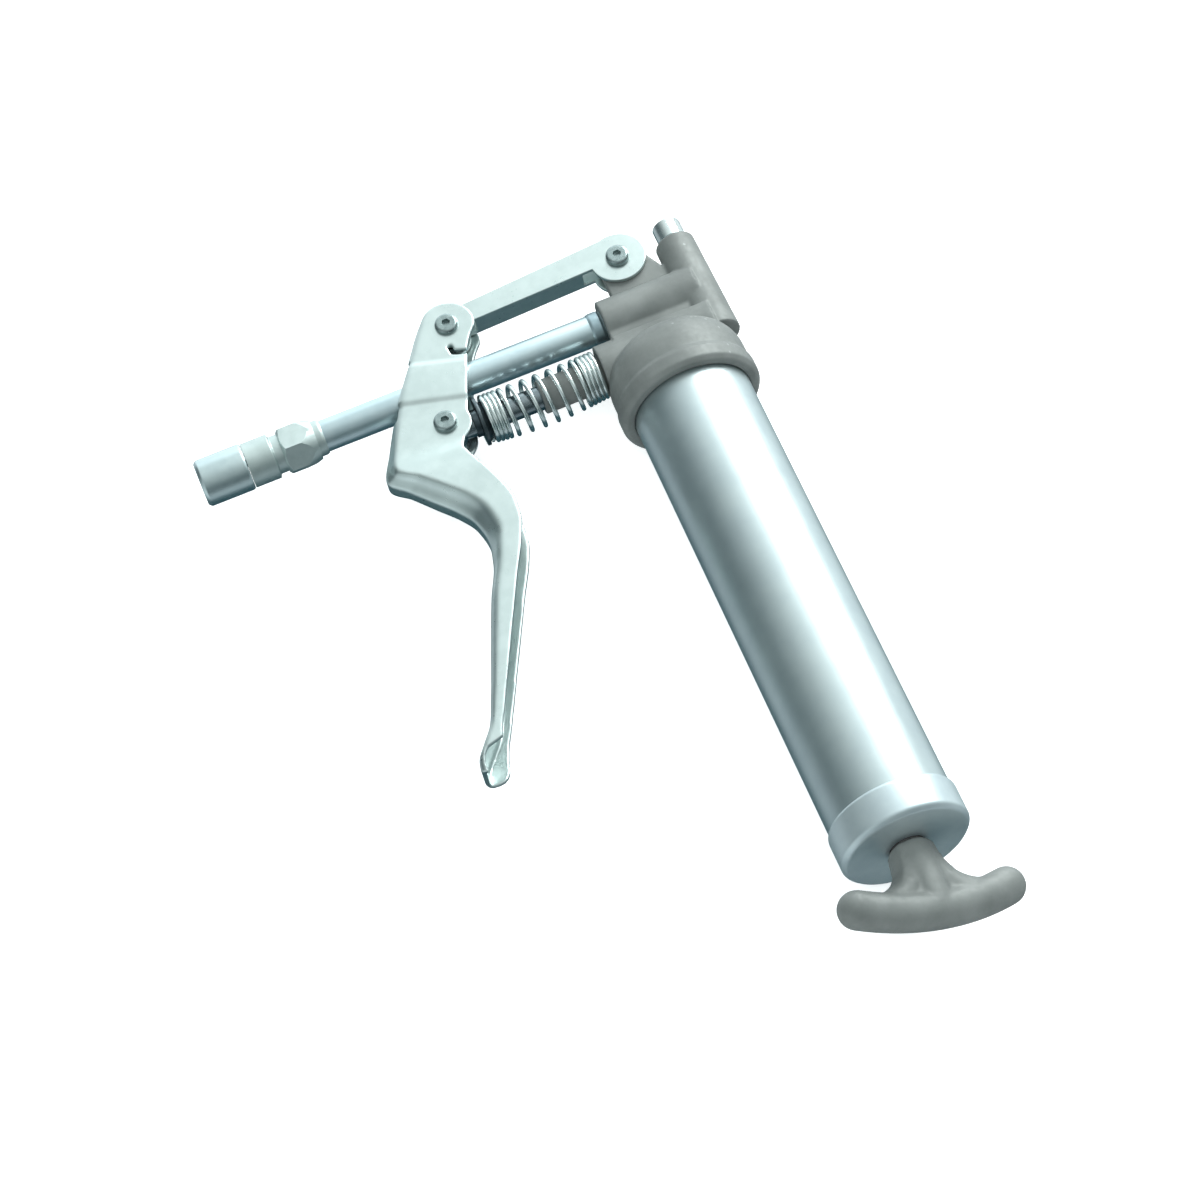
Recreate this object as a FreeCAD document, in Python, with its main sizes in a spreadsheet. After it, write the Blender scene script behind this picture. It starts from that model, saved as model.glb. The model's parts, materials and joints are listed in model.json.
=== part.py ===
import FreeCAD, Part
import math
import os
import re
import Sketcher
from FreeCAD import Placement, Rotation, Vector

# Small pistol-grip grease gun, lying on its side.
# +Y runs along the barrel towards the head, the nozzle points to -X, +Z is up.
# Every length below is in millimetres and every place is given in the gun's own frame, whose
# origin is the point where the nozzle axis meets the barrel axis. The three datum sizes then
# shift the whole gun so that the model's origin is the centre of the bottom of its outer box.

DIMENSIONS = [
    ("datum_x", 60.775, "nozzle and barrel crossing point, from the model origin"),
    ("datum_y", 102.725, "nozzle and barrel crossing point, from the model origin"),
    ("datum_z", 22.9, "height of the mechanism plane above the ground"),
    ("running_gap", 0.05, "radial clearance of a shaft that turns or slides in its hole"),
    ("free_gap", 0.3, "clearance between pieces that move past each other"),
    # barrel
    ("barrel_radius", 19.0, "outside of the steel barrel"),
    ("barrel_wall", 1.2, ""),
    ("barrel_top", 31.6, "distance of the barrel's open end below the nozzle axis"),
    ("barrel_end", 203.0, "distance of the barrel's capped end below the nozzle axis"),
    # head casting
    ("collar_radius", 22.2, ""),
    ("collar_bead_radius", 22.9, "rolled bead round the mouth of the collar"),
    ("collar_rim", 40.0, "mouth of the collar below the nozzle axis"),
    ("collar_shoulder", 16.0, "flat top of the collar below the nozzle axis"),
    ("collar_round", 12.0, "round between the collar's top and its side"),
    ("head_roof", 30.0, "ceiling of the barrel socket below the nozzle axis"),
    ("nozzle_boss_radius", 8.0, ""),
    ("nozzle_boss_reach", 14.6, "face of the nozzle boss from the barrel axis"),
    ("plunger_drop", 16.5, "plunger axis below the nozzle axis"),
    ("plunger_boss_radius", 8.8, ""),
    ("plunger_boss_reach", 21.2, "face of the plunger boss from the barrel axis"),
    ("shelf_top", 9.9, "casting shelf under the nozzle boss, below the nozzle axis"),
    ("shelf_half_width", 7.5, ""),
    ("guide_radius", 5.4, "guide neck that carries the return spring"),
    ("guide_reach", 42.0, "end of the guide neck from the barrel axis"),
    ("neck_wall", 0.8, "wall of the guide neck round the packing"),
    ("packing_length", 4.0, ""),
    ("packing_ring_length", 1.0, ""),
    ("tower_x", 17.1, "axis of the valve tower from the barrel axis"),
    ("tower_radius", 6.4, ""),
    ("tower_foot", 19.0, "foot of the tower below the nozzle axis"),
    ("tower_top", 19.5, ""),
    ("lug_half_width", 2.2, ""),
    ("lug_radius", 7.4, ""),
    ("lug_back", 8.5, "straight back edge of the lug from the barrel axis"),
    ("port_radius", 2.0, "grease passages"),
    # plunger, return spring
    ("plunger_radius", 3.9, ""),
    ("plunger_tip", 6.0, "inner end of the plunger from the barrel axis, at rest"),
    ("plunger_pivot", 72.5, "plunger eye from the barrel axis, at rest"),
    ("eye_radius", 6.2, ""),
    ("eye_half_width", 4.5, ""),
    ("seat_radius", 7.9, ""),
    ("seat_face", 61.3, "spring seat face from the barrel axis"),
    ("seat_thickness", 1.1, ""),
    ("seat_hub", 2.2, "length of the seat's hub inside the spring"),
    ("spring_mean_radius", 7.2, ""),
    ("spring_wire", 0.75, "wire radius of the return spring"),
    ("spring_gap", 0.35, "between a spring's end and what it bears on"),
    ("spring_turns", 13.0, ""),
    # link and lever pivots
    ("link_pivot_x", 1.5, "link pivot on the lug, from the barrel axis"),
    ("link_pivot_y", 20.3, ""),
    ("fork_pivot_x", 59.9, "fork pivot from the barrel axis"),
    ("fork_pivot_y", 18.2, ""),
    ("link_half_width", 3.9, ""),
    ("link_sheet", 1.4, ""),
    ("link_eye_radius", 9.0, ""),
    ("link_fork_radius", 6.4, ""),
    ("link_bar_top", 8.6, "upper edge of the bar above the line of its pivots"),
    ("link_bar_bottom", 0.5, "lower edge of the bar below the line of its pivots"),
    ("link_web_gap_fork", 9.0, "start of the web from the fork pivot"),
    ("link_web_gap_lug", 12.5, "end of the web before the lug pivot"),
    ("lever_sheet", 1.6, ""),
    ("fork_lobe_radius", 8.8, ""),
    ("plunger_lobe_radius", 8.2, ""),
    ("tube_slot_half", 5.7, "slot in the lever's web that the nozzle tube passes through"),
    ("tube_slot_below", 8.7, "end of the slot below the nozzle axis"),
    ("tube_slot_above", 10.5, "end of the slot above the nozzle axis"),
    ("tube_slot_inner", 72.0, "depth of the slot, from the barrel axis"),
    ("tube_slot_outer", 94.0, "past the web, from the barrel axis"),
    ("shank_radius", 2.5, "pivot screw shank"),
    ("button_radius", 3.75, "pivot screw head"),
    ("button_height", 1.8, ""),
    ("socket_flat", 2.5, "hexagon socket, across flats"),
    ("socket_depth", 1.3, ""),
    ("nut_flat", 7.0, "pivot nut, across flats"),
    ("nut_height", 2.6, ""),
    ("head_play", 0.15, "between the link and its screw and nut"),
    ("fork_play", 0.75, "clearance of the open pivot in the link"),
    ("press_gap", 0.02, "around a piece that is fixed in its hole"),
    ("fork_cheek", 5.9, "outside of the lever's cheeks at the fork pivot, from its middle plane"),
    ("foot_cheek", 6.5, "outside of the lever's cheeks at the plunger pivot"),
    # nozzle
    ("tube_radius", 5.1, ""),
    ("tube_bore", 2.2, ""),
    ("tube_inner_end", 7.0, "inner end of the nozzle tube from the barrel axis"),
    ("tube_outer_end", 116.0, ""),
    ("lock_ring_radius", 5.5, ""),
    ("lock_ring_width", 4.4, ""),
    # coupler
    ("coupler_mouth", 149.6, "mouth of the coupler from the barrel axis"),
    ("coupler_back", 108.6, ""),
    ("hex_flat", 14.0, "across flats"),
    ("hex_front", 122.4, ""),
    ("hex_back", 111.6, ""),
    ("hex_turn", 30.0, "turn of the hexagon about the nozzle axis, in degrees"),
    ("neck_radius", 6.2, "groove between the hexagon and the ring"),
    ("neck_front", 125.5, ""),
    ("waist_radius", 7.25, "plain ring behind the sleeve"),
    ("waist_front", 134.0, ""),
    ("sleeve_radius", 7.6, ""),
    ("sleeve_bore", 6.0, ""),
    ("mouth_radius", 3.35, "socket for a 6.5 mm grease nipple head"),
    ("seal_face", 142.8, "bottom of the coupler's socket"),
    ("check_radius", 2.3, "check ball of the coupler"),
    ("check_pocket", 7.0, "depth of the pocket of the check ball and its spring"),
    ("check_spring_wire", 0.35, ""),
    ("check_spring_turns", 7.0, ""),
    ("sleeve_spigot", 5.0, "length of the body's end inside the sleeve"),
    ("jaw_wall", 0.9, "thickness of the jaws at the mouth"),
    ("jaw_angle", 84.0, "arc of one jaw, in degrees"),
    # end cap and follower
    ("cap_radius", 20.0, ""),
    ("cap_skirt", 195.5, "open edge of the cap's skirt below the nozzle axis"),
    ("cap_face", 207.2, ""),
    ("cap_floor", 203.9, "inside face of the cap's end wall"),
    ("bush_radius", 5.2, ""),
    ("rod_radius", 3.2, ""),
    ("piston_radius", 17.3, ""),
    ("piston_thickness", 4.0, ""),
    ("cup_thickness", 2.5, ""),
    ("cup_lip", 9.0, "length of the cup seal's lip past the piston"),
    ("washer_thickness", 1.2, ""),
    ("rod_nut_flat", 10.0, "across flats"),
    ("rod_nut_height", 3.5, ""),
    ("piston_face", 60.0, "follower face that the spring pushes on, at rest"),
    ("follower_wire", 0.9, "wire radius of the follower spring"),
    ("follower_mean_radius", 13.5, ""),
    ("follower_turns", 17.0, ""),
    # t-handle
    ("handle_axis", 229.0, "middle of the bar below the nozzle axis"),
    ("handle_bar_radius", 5.75, ""),
    ("handle_bow", 77.8, "bow radius of the bar"),
    ("handle_half_angle", 18.7, "half of the bar's arc, in degrees"),
    ("handle_turn", 26.6, "resting turn of the bar about the rod, in degrees"),
    ("stem_radius", 6.6, ""),
    ("gusset_half_width", 4.3, "webs between the stem and the bar"),
    ("stem_top", 207.8, ""),
    # bleed screw
    ("plug_radius", 4.6, ""),
    ("plug_top", 27.0, ""),
    ("plug_thread_radius", 3.6, ""),
    ("plug_tip", 7.0, "lower end of the bleed screw above the nozzle axis"),
    ("plug_slot_half", 0.6, "half width of the screwdriver slot"),
    ("plug_slot_depth", 1.6, ""),
    ("plug_washer", 0.9, "thickness of the soft washer under the screw's head"),
    ("valve_spring_radius", 1.7, "mean radius of the outlet valve's spring"),
    ("valve_spring_wire", 0.3, ""),
    ("valve_spring_turns", 7.0, ""),
    ("ball_radius", 2.4, "outlet check ball"),
    ("ball_height", 8.6, "ball centre below the nozzle axis"),
]

# Stations of the pressed lever, from the fork to the tip: web side (x, y), open side (x, y),
# half width over the cheeks, bend radius of the web.
LEVER_STATIONS = [
    ((-61.5, 33.8), (-43.0, 28.0), 5.9, 2.6),
    ((-76.2, 10.4), (-54.5, 3.3), 5.9, 2.6),
    ((-77.7, 8.0), (-55.6, 0.9), 7.4, 3.0),
    ((-84.3, -2.6), (-58.0, -10.4), 7.4, 3.0),
    ((-85.8, -5.0), (-59.2, -12.9), 6.4, 3.0),
    ((-92.4, -18.0), (-61.0, -24.5), 6.5, 3.2),
    ((-96.4, -26.8), (-70.3, -27.0), 7.2, 3.5),
    ((-91.3, -32.6), (-68.4, -32.8), 7.8, 4.0),
    ((-85.5, -39.6), (-66.2, -38.4), 8.2, 4.5),
    ((-79.9, -46.4), (-63.9, -44.6), 8.3, 5.0),
    ((-76.3, -52.8), (-62.4, -51.8), 8.3, 5.0),
    ((-75.0, -60.5), (-62.8, -58.6), 8.3, 5.0),
    ((-76.4, -69.3), (-65.2, -66.0), 8.3, 4.8),
    ((-81.4, -81.6), (-71.3, -78.6), 8.2, 4.4),
    ((-87.3, -97.6), (-78.9, -94.8), 8.0, 4.0),
    ((-93.0, -113.3), (-86.4, -110.8), 7.7, 3.4),
    ((-96.6, -122.2), (-90.6, -119.8), 7.4, 3.0),
    ((-101.5, -129.0), (-94.6, -126.4), 6.9, 2.8),
    ((-104.6, -135.6), (-97.6, -132.6), 5.4, 2.4),
    ((-103.4, -139.4), (-99.4, -137.6), 3.2, 1.2),
]

# Side view of the lever's cheeks between and below the two pivot lobes. The waist is an arc through
# its middle and its lower end; the corners then run round everything that belongs to the handle.
WAIST_MIDDLE = Vector(-55.6, 11.4, 0)
WAIST_END = Vector(-56.6, 8.0, 0)
HANDLE_CORNERS = [
    Vector(-70.0, -26.5, 0),
    Vector(-50.0, -30.0, 0),
    Vector(-50.0, -150.0, 0),
    Vector(-125.0, -150.0, 0),
    Vector(-125.0, -10.0, 0),
    Vector(-80.0, 8.0, 0),
]

PARTS_FOLDER = "parts"
MAIN_AXES = {
    "+x": Rotation(),
    "-x": Rotation(Vector(0, 0, 1), 180),
    "+y": Rotation(Vector(0, 0, 1), 90),
    "-y": Rotation(Vector(0, 0, 1), -90),
    "+z": Rotation(Vector(0, 1, 0), -90),
}
Z_TO_X = Rotation(Vector(0, 1, 0), 90)

os.makedirs(PARTS_FOLDER, exist_ok=True)
doc = FreeCAD.newDocument("grease_gun")
sheet = doc.addObject("Spreadsheet::Sheet", "Sizes")
for row, (alias, value, meaning) in enumerate(DIMENSIONS, start=1):
    sheet.set("A%d" % row, alias)
    sheet.set("B%d" % row, str(value))
    sheet.setAlias("B%d" % row, alias)
    sheet.set("C%d" % row, meaning)
doc.recompute()
ALIASES = [alias for alias, value, meaning in DIMENSIONS]
nodes = []


def size(alias):
    """A driving dimension, read back from the sheet."""
    return float(sheet.get(alias))


def bound(text):
    """Turns sheet names in a formula into references to the sheet's cells."""

    def cell(found):
        word = found.group()
        return "Sizes." + word if word in ALIASES else word

    return re.sub(r"[a-z_]+", cell, text)


def place(piece, base, turn):
    """Puts a piece at a point of the gun's frame, given as three formulas."""
    piece.Placement = Placement(Vector(), turn)
    for axis, formula in zip("xyz", base):
        piece.setExpression("Placement.Base." + axis, bound("datum_%s + (%s)" % (axis, formula)))


def set_sizes(piece, **formulas):
    """Binds properties of a piece to formulas of sheet names."""
    for name, formula in formulas.items():
        piece.setExpression(name, bound(formula))


def new_body(label, base=("0", "0", "0"), turn=None):
    body = doc.addObject("PartDesign::Body", label)
    body.Label = label
    place(body, base, turn or Rotation())
    return body


def origin_plane(body, role):
    return [item for item in body.Origin.OriginFeatures if item.Role == role][0]


def new_sketch(body, role, lift="0"):
    """A sketch on one of the body's own origin planes, lifted along the plane's normal."""
    sketch = body.newObject("Sketcher::SketchObject", body.Name + "_sketch")
    sketch.AttachmentSupport = [(origin_plane(body, role), "")]
    sketch.MapMode = "FlatFace"
    sketch.setExpression("AttachmentOffset.Base.z", bound(lift))
    return sketch


def bind_point(sketch, geometry, corner, x, y):
    """Ties one point of the sketch to two formulas."""
    for kind, formula in (("DistanceX", x), ("DistanceY", y)):
        index = sketch.addConstraint(Sketcher.Constraint(kind, -1, 1, geometry, corner, 1.0))
        sketch.setExpression("Constraints[%d]" % index, bound(formula))


def draw_outline(sketch, corners):
    """A closed polyline through corners given as pairs of formulas."""
    count = len(corners)
    first = sketch.GeometryCount
    angles = [2 * math.pi * i / count for i in range(count)]
    ring = [Vector(math.cos(angle), math.sin(angle), 0) for angle in angles]
    for i in range(count):
        sketch.addGeometry(Part.LineSegment(ring[i], ring[(i + 1) % count]), False)
    for i in range(count):
        sketch.addConstraint(Sketcher.Constraint("Coincident", first + i, 2, first + (i + 1) % count, 1))
    for i, (x, y) in enumerate(corners):
        bind_point(sketch, first + i, 1, x, y)


def draw_circle(sketch, x, y, radius):
    """A circle whose centre and radius are formulas."""
    index = sketch.addGeometry(Part.Circle(Vector(0, 0, 0), Vector(0, 0, 1), 1.0), False)
    bind_point(sketch, index, 3, x, y)
    constraint = sketch.addConstraint(Sketcher.Constraint("Radius", index, 1.0))
    sketch.setExpression("Constraints[%d]" % constraint, bound(radius))


def draw_hexagon(sketch, x, y, flat, turn="0"):
    """A hexagon of the given width across flats, turned by an angle."""
    corners = []
    for step in range(6):
        angle = "(%s + %d)" % (turn, 60 * step)
        corners.append(("%s + (%s) / sqrt(3) * cos%s" % (x, flat, angle),
                        "%s + (%s) / sqrt(3) * sin%s" % (y, flat, angle)))
    draw_outline(sketch, corners)


def draw_slot(sketch, x, y, long_half, wide_half):
    """A rectangle given by its middle and its half lengths."""
    draw_outline(sketch, [
        ("%s - %s" % (x, long_half), "%s - %s" % (y, wide_half)),
        ("%s + %s" % (x, long_half), "%s - %s" % (y, wide_half)),
        ("%s + %s" % (x, long_half), "%s + %s" % (y, wide_half)),
        ("%s - %s" % (x, long_half), "%s + %s" % (y, wide_half)),
    ])


def add_pad(body, draw, shape, low, high):
    """Adds material between two heights along the body's own Z."""
    sketch = new_sketch(body, "XY_Plane", low)
    draw(sketch, *shape)
    pad = body.newObject("PartDesign::Pad", body.Name + "_pad")
    pad.Profile = sketch
    pad.setExpression("Length", bound("(%s) - (%s)" % (high, low)))
    doc.recompute()
    return pad


def add_pocket(body, draw, shape, low, high):
    """Removes material between two heights along the body's own Z."""
    before = body.Shape.Volume
    sketch = new_sketch(body, "XY_Plane", low)
    draw(sketch, *shape)
    pocket = body.newObject("PartDesign::Pocket", body.Name + "_pocket")
    pocket.Profile = sketch
    pocket.Reversed = True
    pocket.setExpression("Length", bound("(%s) - (%s)" % (high, low)))
    doc.recompute()
    if body.Shape.Volume > before - 1e-6:
        raise RuntimeError("a pocket of %s cuts nothing" % body.Label)
    return pocket


def revolve(body, profile):
    """Turns a profile of (along, radius) formulas about the body's own X axis."""
    sketch = new_sketch(body, "XY_Plane")
    draw_outline(sketch, profile)
    turned = body.newObject("PartDesign::Revolution", body.Name + "_turned")
    turned.Profile = sketch
    turned.ReferenceAxis = (sketch, ["H_Axis"])
    turned.Angle = 360.0
    doc.recompute()
    return turned


def turned_piece(label, base, direction, profile):
    body = new_body(label, base, MAIN_AXES[direction])
    revolve(body, profile)
    nodes.append(body)
    return body


def ring_profile(start, end, outer, inner):
    return [(start, inner), (end, inner), (end, outer), (start, outer)]


def primitive(kind, label, base, turn, **formulas):
    """A Part primitive whose sizes are formulas, placed in the gun's frame."""
    piece = doc.addObject(kind, label)
    set_sizes(piece, **formulas)
    place(piece, base, turn)
    return piece


def cylinder(label, base, direction, radius, length):
    """A cylinder from a point along one of the main directions."""
    return primitive("Part::Cylinder", label, base, MAIN_AXES[direction] * Z_TO_X,
                     Radius=radius, Height=length)


def fused(label, pieces):
    whole = doc.addObject("Part::MultiFuse", label)
    whole.Shapes = pieces
    whole.Refine = True
    return whole


def cut(label, base, tool):
    rest = doc.addObject("Part::Cut", label)
    rest.Base = base
    rest.Tool = tool
    rest.Refine = True
    return rest


def helix_spring(label, base, direction, mean_radius, wire, length, turns):
    """A round-wire compression spring from a point along a main direction."""
    line = primitive("Part::Helix", label + "_line", base, MAIN_AXES[direction] * Z_TO_X,
                     Radius=mean_radius, Height=length, Pitch="(%s) / (%s)" % (length, turns))
    section = doc.addObject("Part::Circle", label + "_section")
    set_sizes(section, Radius=wire)
    doc.recompute()
    start = line.Shape.Vertexes[0].Point
    tangent = line.Shape.Edges[0].tangentAt(line.Shape.Edges[0].FirstParameter)
    section.Placement = Placement(start, Rotation(Vector(0, 0, 1), tangent))
    spring = doc.addObject("Part::Sweep", label)
    spring.Sections = [section]
    spring.Spine = (line, [])
    spring.Solid = True
    spring.Frenet = True
    nodes.append(spring)
    return spring


# ---------------------------------------------------------------- head and barrel

def head_collar():
    """Domed cup of the casting that the barrel screws into."""
    collar = new_body("head_collar_form", turn=MAIN_AXES["-y"])
    dome = revolve(collar, [
        ("collar_shoulder", "0"),
        ("collar_shoulder", "collar_radius"),
        ("collar_rim - 7", "collar_radius"),
        ("collar_rim - 5.5", "collar_bead_radius"),
        ("collar_rim - 1.5", "collar_bead_radius"),
        ("collar_rim", "collar_radius - 0.6"),
        ("collar_rim", "barrel_radius + running_gap"),
        ("head_roof", "barrel_radius + running_gap"),
        ("head_roof", "0"),
    ])
    rims = []
    for index, edge in enumerate(dome.Shape.Edges, start=1):
        low = min(vertex.Point.x for vertex in edge.Vertexes)
        wide = hasattr(edge.Curve, "Radius") and abs(edge.Curve.Radius - size("collar_radius")) < 1e-3
        if wide and abs(low - size("collar_shoulder")) < 1e-3:
            rims.append("Edge%d" % index)
    fillet = collar.newObject("PartDesign::Fillet", "head_collar_round")
    fillet.Base = (dome, rims)
    fillet.setExpression("Radius", bound("collar_round"))
    return collar


def head_lug():
    """Upright ear of the casting that carries the link pivot."""
    lug = new_body("head_lug_form")
    half = "lug_half_width"
    corners = [
        ("-lug_back", "2"),
        ("tower_x", "2"),
        ("tower_x - tower_radius + 1", "9.5"),
        ("-link_pivot_x + lug_radius * 0.77", "link_pivot_y + lug_radius * 0.64"),
        ("-link_pivot_x", "link_pivot_y"),
        ("-lug_back", "link_pivot_y"),
    ]
    add_pad(lug, draw_outline, (corners,), "-" + half, half)
    add_pad(lug, draw_circle, ("-link_pivot_x", "link_pivot_y", "lug_radius"), "-" + half, half)
    return lug


def head_shelf():
    """Solid block that joins the nozzle boss, the plunger boss and the tower."""
    shelf = new_body("head_shelf_form")
    corners = [
        ("-nozzle_boss_reach", "-shelf_top"),
        ("-nozzle_boss_reach", "-plunger_drop"),
        ("tower_x", "-plunger_drop"),
        ("tower_x", "-shelf_top"),
    ]
    add_pad(shelf, draw_outline, (corners,), "-shelf_half_width", "shelf_half_width")
    neck = [
        ("-nozzle_boss_reach", "-shelf_top - 1"),
        ("tower_x", "-shelf_top - 1"),
        ("tower_x", "0"),
        ("-nozzle_boss_reach", "0"),
    ]
    add_pad(shelf, draw_outline, (neck,), "-nozzle_boss_radius * 0.62", "nozzle_boss_radius * 0.62")
    return shelf


def head_casting():
    """Zinc head: barrel collar, nozzle boss, plunger boss with its guide neck, valve tower, lug."""
    axis = ("0", "-plunger_drop", "0")
    seat_drop = "sqrt(ball_radius ^ 2 - port_radius ^ 2)"
    tower = primitive("Part::Cone", "head_tower_form", ("tower_x", "-tower_foot", "0"),
                      Rotation(Vector(1, 0, 0), -90), Radius1="tower_radius + 0.7", Radius2="tower_radius",
                      Height="tower_top + tower_foot")
    body = fused("head_form", [
        head_collar(),
        head_lug(),
        head_shelf(),
        tower,
        cylinder("nozzle_boss_form", ("tower_x", "0", "0"), "-x", "nozzle_boss_radius",
                 "tower_x + nozzle_boss_reach"),
        cylinder("plunger_boss_form", ("tower_x", "-plunger_drop", "0"), "-x", "plunger_boss_radius",
                 "tower_x + plunger_boss_reach"),
        cylinder("guide_form", axis, "-x", "guide_radius", "guide_reach"),
    ])
    bores = fused("head_bores", [
        cylinder("plunger_bore", ("tower_x", "-plunger_drop", "0"), "-x", "plunger_radius + running_gap",
                 "tower_x + guide_reach + 1"),
        cylinder("packing_bore", ("-guide_reach - 1", "-plunger_drop", "0"), "+x",
                 "guide_radius - neck_wall", "packing_length + 2"),
        cylinder("inlet_port", ("-plunger_tip + port_radius", "-head_roof - 1", "0"), "+y", "port_radius",
                 "head_roof - plunger_drop + 1"),
        cylinder("tower_bore", ("tower_x", "-plunger_drop", "0"), "+y", "port_radius", "plunger_drop"),
        cylinder("valve_bore", ("tower_x", "-ball_height - (%s) - 0.03" % seat_drop, "0"), "+y",
                 "ball_radius + 0.4", "plug_tip + ball_height + 2"),
        cylinder("plug_bore", ("tower_x", "plug_tip - 1", "0"), "+y", "plug_thread_radius + running_gap",
                 "tower_top - plug_tip + 2"),
        cylinder("outlet_port", ("tower_x", "0", "0"), "-x", "port_radius", "tower_x + tube_inner_end"),
        cylinder("tube_socket", ("-tube_inner_end", "0", "0"), "-x", "tube_radius + running_gap",
                 "nozzle_boss_reach - tube_inner_end + 1"),
        cylinder("lug_hole", ("-link_pivot_x", "link_pivot_y", "-lug_half_width - 1"), "+z",
                 "shank_radius + running_gap", "lug_half_width * 2 + 2"),
    ])
    nodes.append(cut("head_casting", body, bores))


def barrel():
    """Steel barrel, its gasket, the end cap and the rod's bush."""
    turned_piece("barrel_gasket", ("0", "0", "0"), "-y",
                 ring_profile("head_roof", "barrel_top", "barrel_radius - 0.1", "barrel_radius - 4"))
    turned_piece("barrel_tube", ("0", "0", "0"), "-y",
                 ring_profile("barrel_top", "barrel_end", "barrel_radius", "barrel_radius - barrel_wall"))
    turned_piece("end_cap", ("0", "0", "0"), "-y", [
        ("cap_skirt", "barrel_radius + running_gap"),
        ("cap_skirt", "cap_radius - 0.3"),
        ("cap_skirt + 0.6", "cap_radius"),
        ("cap_face - 1.4", "cap_radius"),
        ("cap_face", "cap_radius - 1.4"),
        ("cap_face", "bush_radius + 0.02"),
        ("cap_floor", "bush_radius + 0.02"),
        ("cap_floor", "barrel_radius + running_gap"),
    ])
    turned_piece("rod_bush", ("0", "0", "0"), "-y", [
        ("cap_floor - 1.2", "rod_radius + running_gap"),
        ("cap_face + 0.4", "rod_radius + running_gap"),
        ("cap_face + 0.4", "bush_radius"),
        ("cap_floor", "bush_radius"),
        ("cap_floor", "bush_radius + 1.6"),
        ("cap_floor - 1.2", "bush_radius + 1.6"),
    ])


# ---------------------------------------------------------------- follower

def follower():
    """Piston and cup seal pushed by the long spring, and the rod with its nut."""
    back = "piston_face - piston_thickness"
    cup_back = back + " - cup_thickness"
    lip_end = back + " - cup_lip"
    washer_back = cup_back + " - washer_thickness"
    nut_back = washer_back + " - rod_nut_height - 0.3"
    turned_piece("follower_piston", ("0", "0", "0"), "-y", [
        (back, "rod_radius + running_gap"),
        ("piston_face + 5", "rod_radius + running_gap"),
        ("piston_face + 5", "rod_radius + 2.4"),
        ("piston_face", "rod_radius + 2.4"),
        ("piston_face", "piston_radius"),
        (back, "piston_radius"),
    ])
    turned_piece("follower_cup_seal", ("0", "0", "0"), "-y", [
        (cup_back, "rod_radius + running_gap"),
        (back, "rod_radius + running_gap"),
        (back, "piston_radius + 0.15"),
        (lip_end, "piston_radius + 0.15"),
        (lip_end, "piston_radius - 1.2"),
        (cup_back, "piston_radius - 2.2"),
    ])
    turned_piece("follower_washer", ("0", "0", "0"), "-y",
                 ring_profile(washer_back, cup_back, "rod_radius + 6", "rod_radius + running_gap"))
    turned_piece("follower_rod", ("0", "0", "0"), "-y", [
        (nut_back + " - 1", "0"),
        ("handle_axis - 1", "0"),
        ("handle_axis - 1", "rod_radius"),
        (nut_back + " - 0.5", "rod_radius"),
        (nut_back + " - 1", "rod_radius - 0.5"),
    ])
    nut = new_body("rod_nut", turn=MAIN_AXES["-y"] * Z_TO_X)
    add_pad(nut, draw_hexagon, ("0", "0", "rod_nut_flat"), nut_back, nut_back + " + rod_nut_height")
    add_pocket(nut, draw_circle, ("0", "0", "rod_radius + press_gap"), nut_back + " - 1", cup_back)
    nodes.append(nut)
    helix_spring("follower_spring", ("0", "-cap_floor + follower_wire + 1.3", "0"), "+y",
                 "follower_mean_radius", "follower_wire",
                 "cap_floor - piston_face - follower_wire * 2 - 1.4", "follower_turns")


def t_handle():
    """Cast bar bowed towards the barrel, on a gusseted stem that the rod screws into."""
    lie = Rotation(Vector(0, 1, 0), size("handle_turn"))
    half = size("handle_half_angle")
    bow = size("handle_bow")
    centre_drop = size("handle_axis") - bow
    start = lie * Rotation(Vector(0, 0, 1), -90 - half)
    bar = primitive("Part::Torus", "handle_bar_form", ("0", "-handle_axis + handle_bow", "0"), start,
                    Radius1="handle_bow", Radius2="handle_bar_radius", Angle3="handle_half_angle * 2")
    ends = []
    for side in (-1, 1):
        reach = side * bow * math.sin(math.radians(half))
        height = -centre_drop - bow * math.cos(math.radians(half))
        spot = lie.multVec(Vector(reach, 0, 0))
        base = ("%.4f" % spot.x, "%.4f" % height, "%.4f" % spot.z)
        end = primitive("Part::Sphere", "handle_end_form", base, Rotation(), Radius="handle_bar_radius")
        ends.append(end)
    stem = primitive("Part::Cone", "handle_stem_form", ("0", "-stem_top", "0"), Rotation(Vector(1, 0, 0), 90),
                     Radius1="stem_radius", Radius2="stem_radius - 0.6", Height="handle_axis - stem_top")
    gusset = new_body("handle_gusset_form", turn=lie)
    side = [("stem_radius - 0.8", 21.0), ("stem_radius + 0.4", 14.0), ("stem_radius + 3.2", 8.0),
            ("stem_radius + 8", 4.0)]
    outline = [(reach, "-handle_axis + %s" % rise) for reach, rise in side]
    outline += [("-(%s)" % reach, "-handle_axis + %s" % rise) for reach, rise in reversed(side)]
    add_pad(gusset, draw_outline, (outline,), "-gusset_half_width", "gusset_half_width")
    hole = cylinder("handle_hole", ("0", "-stem_top + 1", "0"), "-y", "rod_radius + press_gap",
                    "handle_axis - stem_top")
    nodes.append(cut("t_handle", fused("handle_form", [bar, stem, gusset] + ends), hole))


# ---------------------------------------------------------------- plunger

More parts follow.
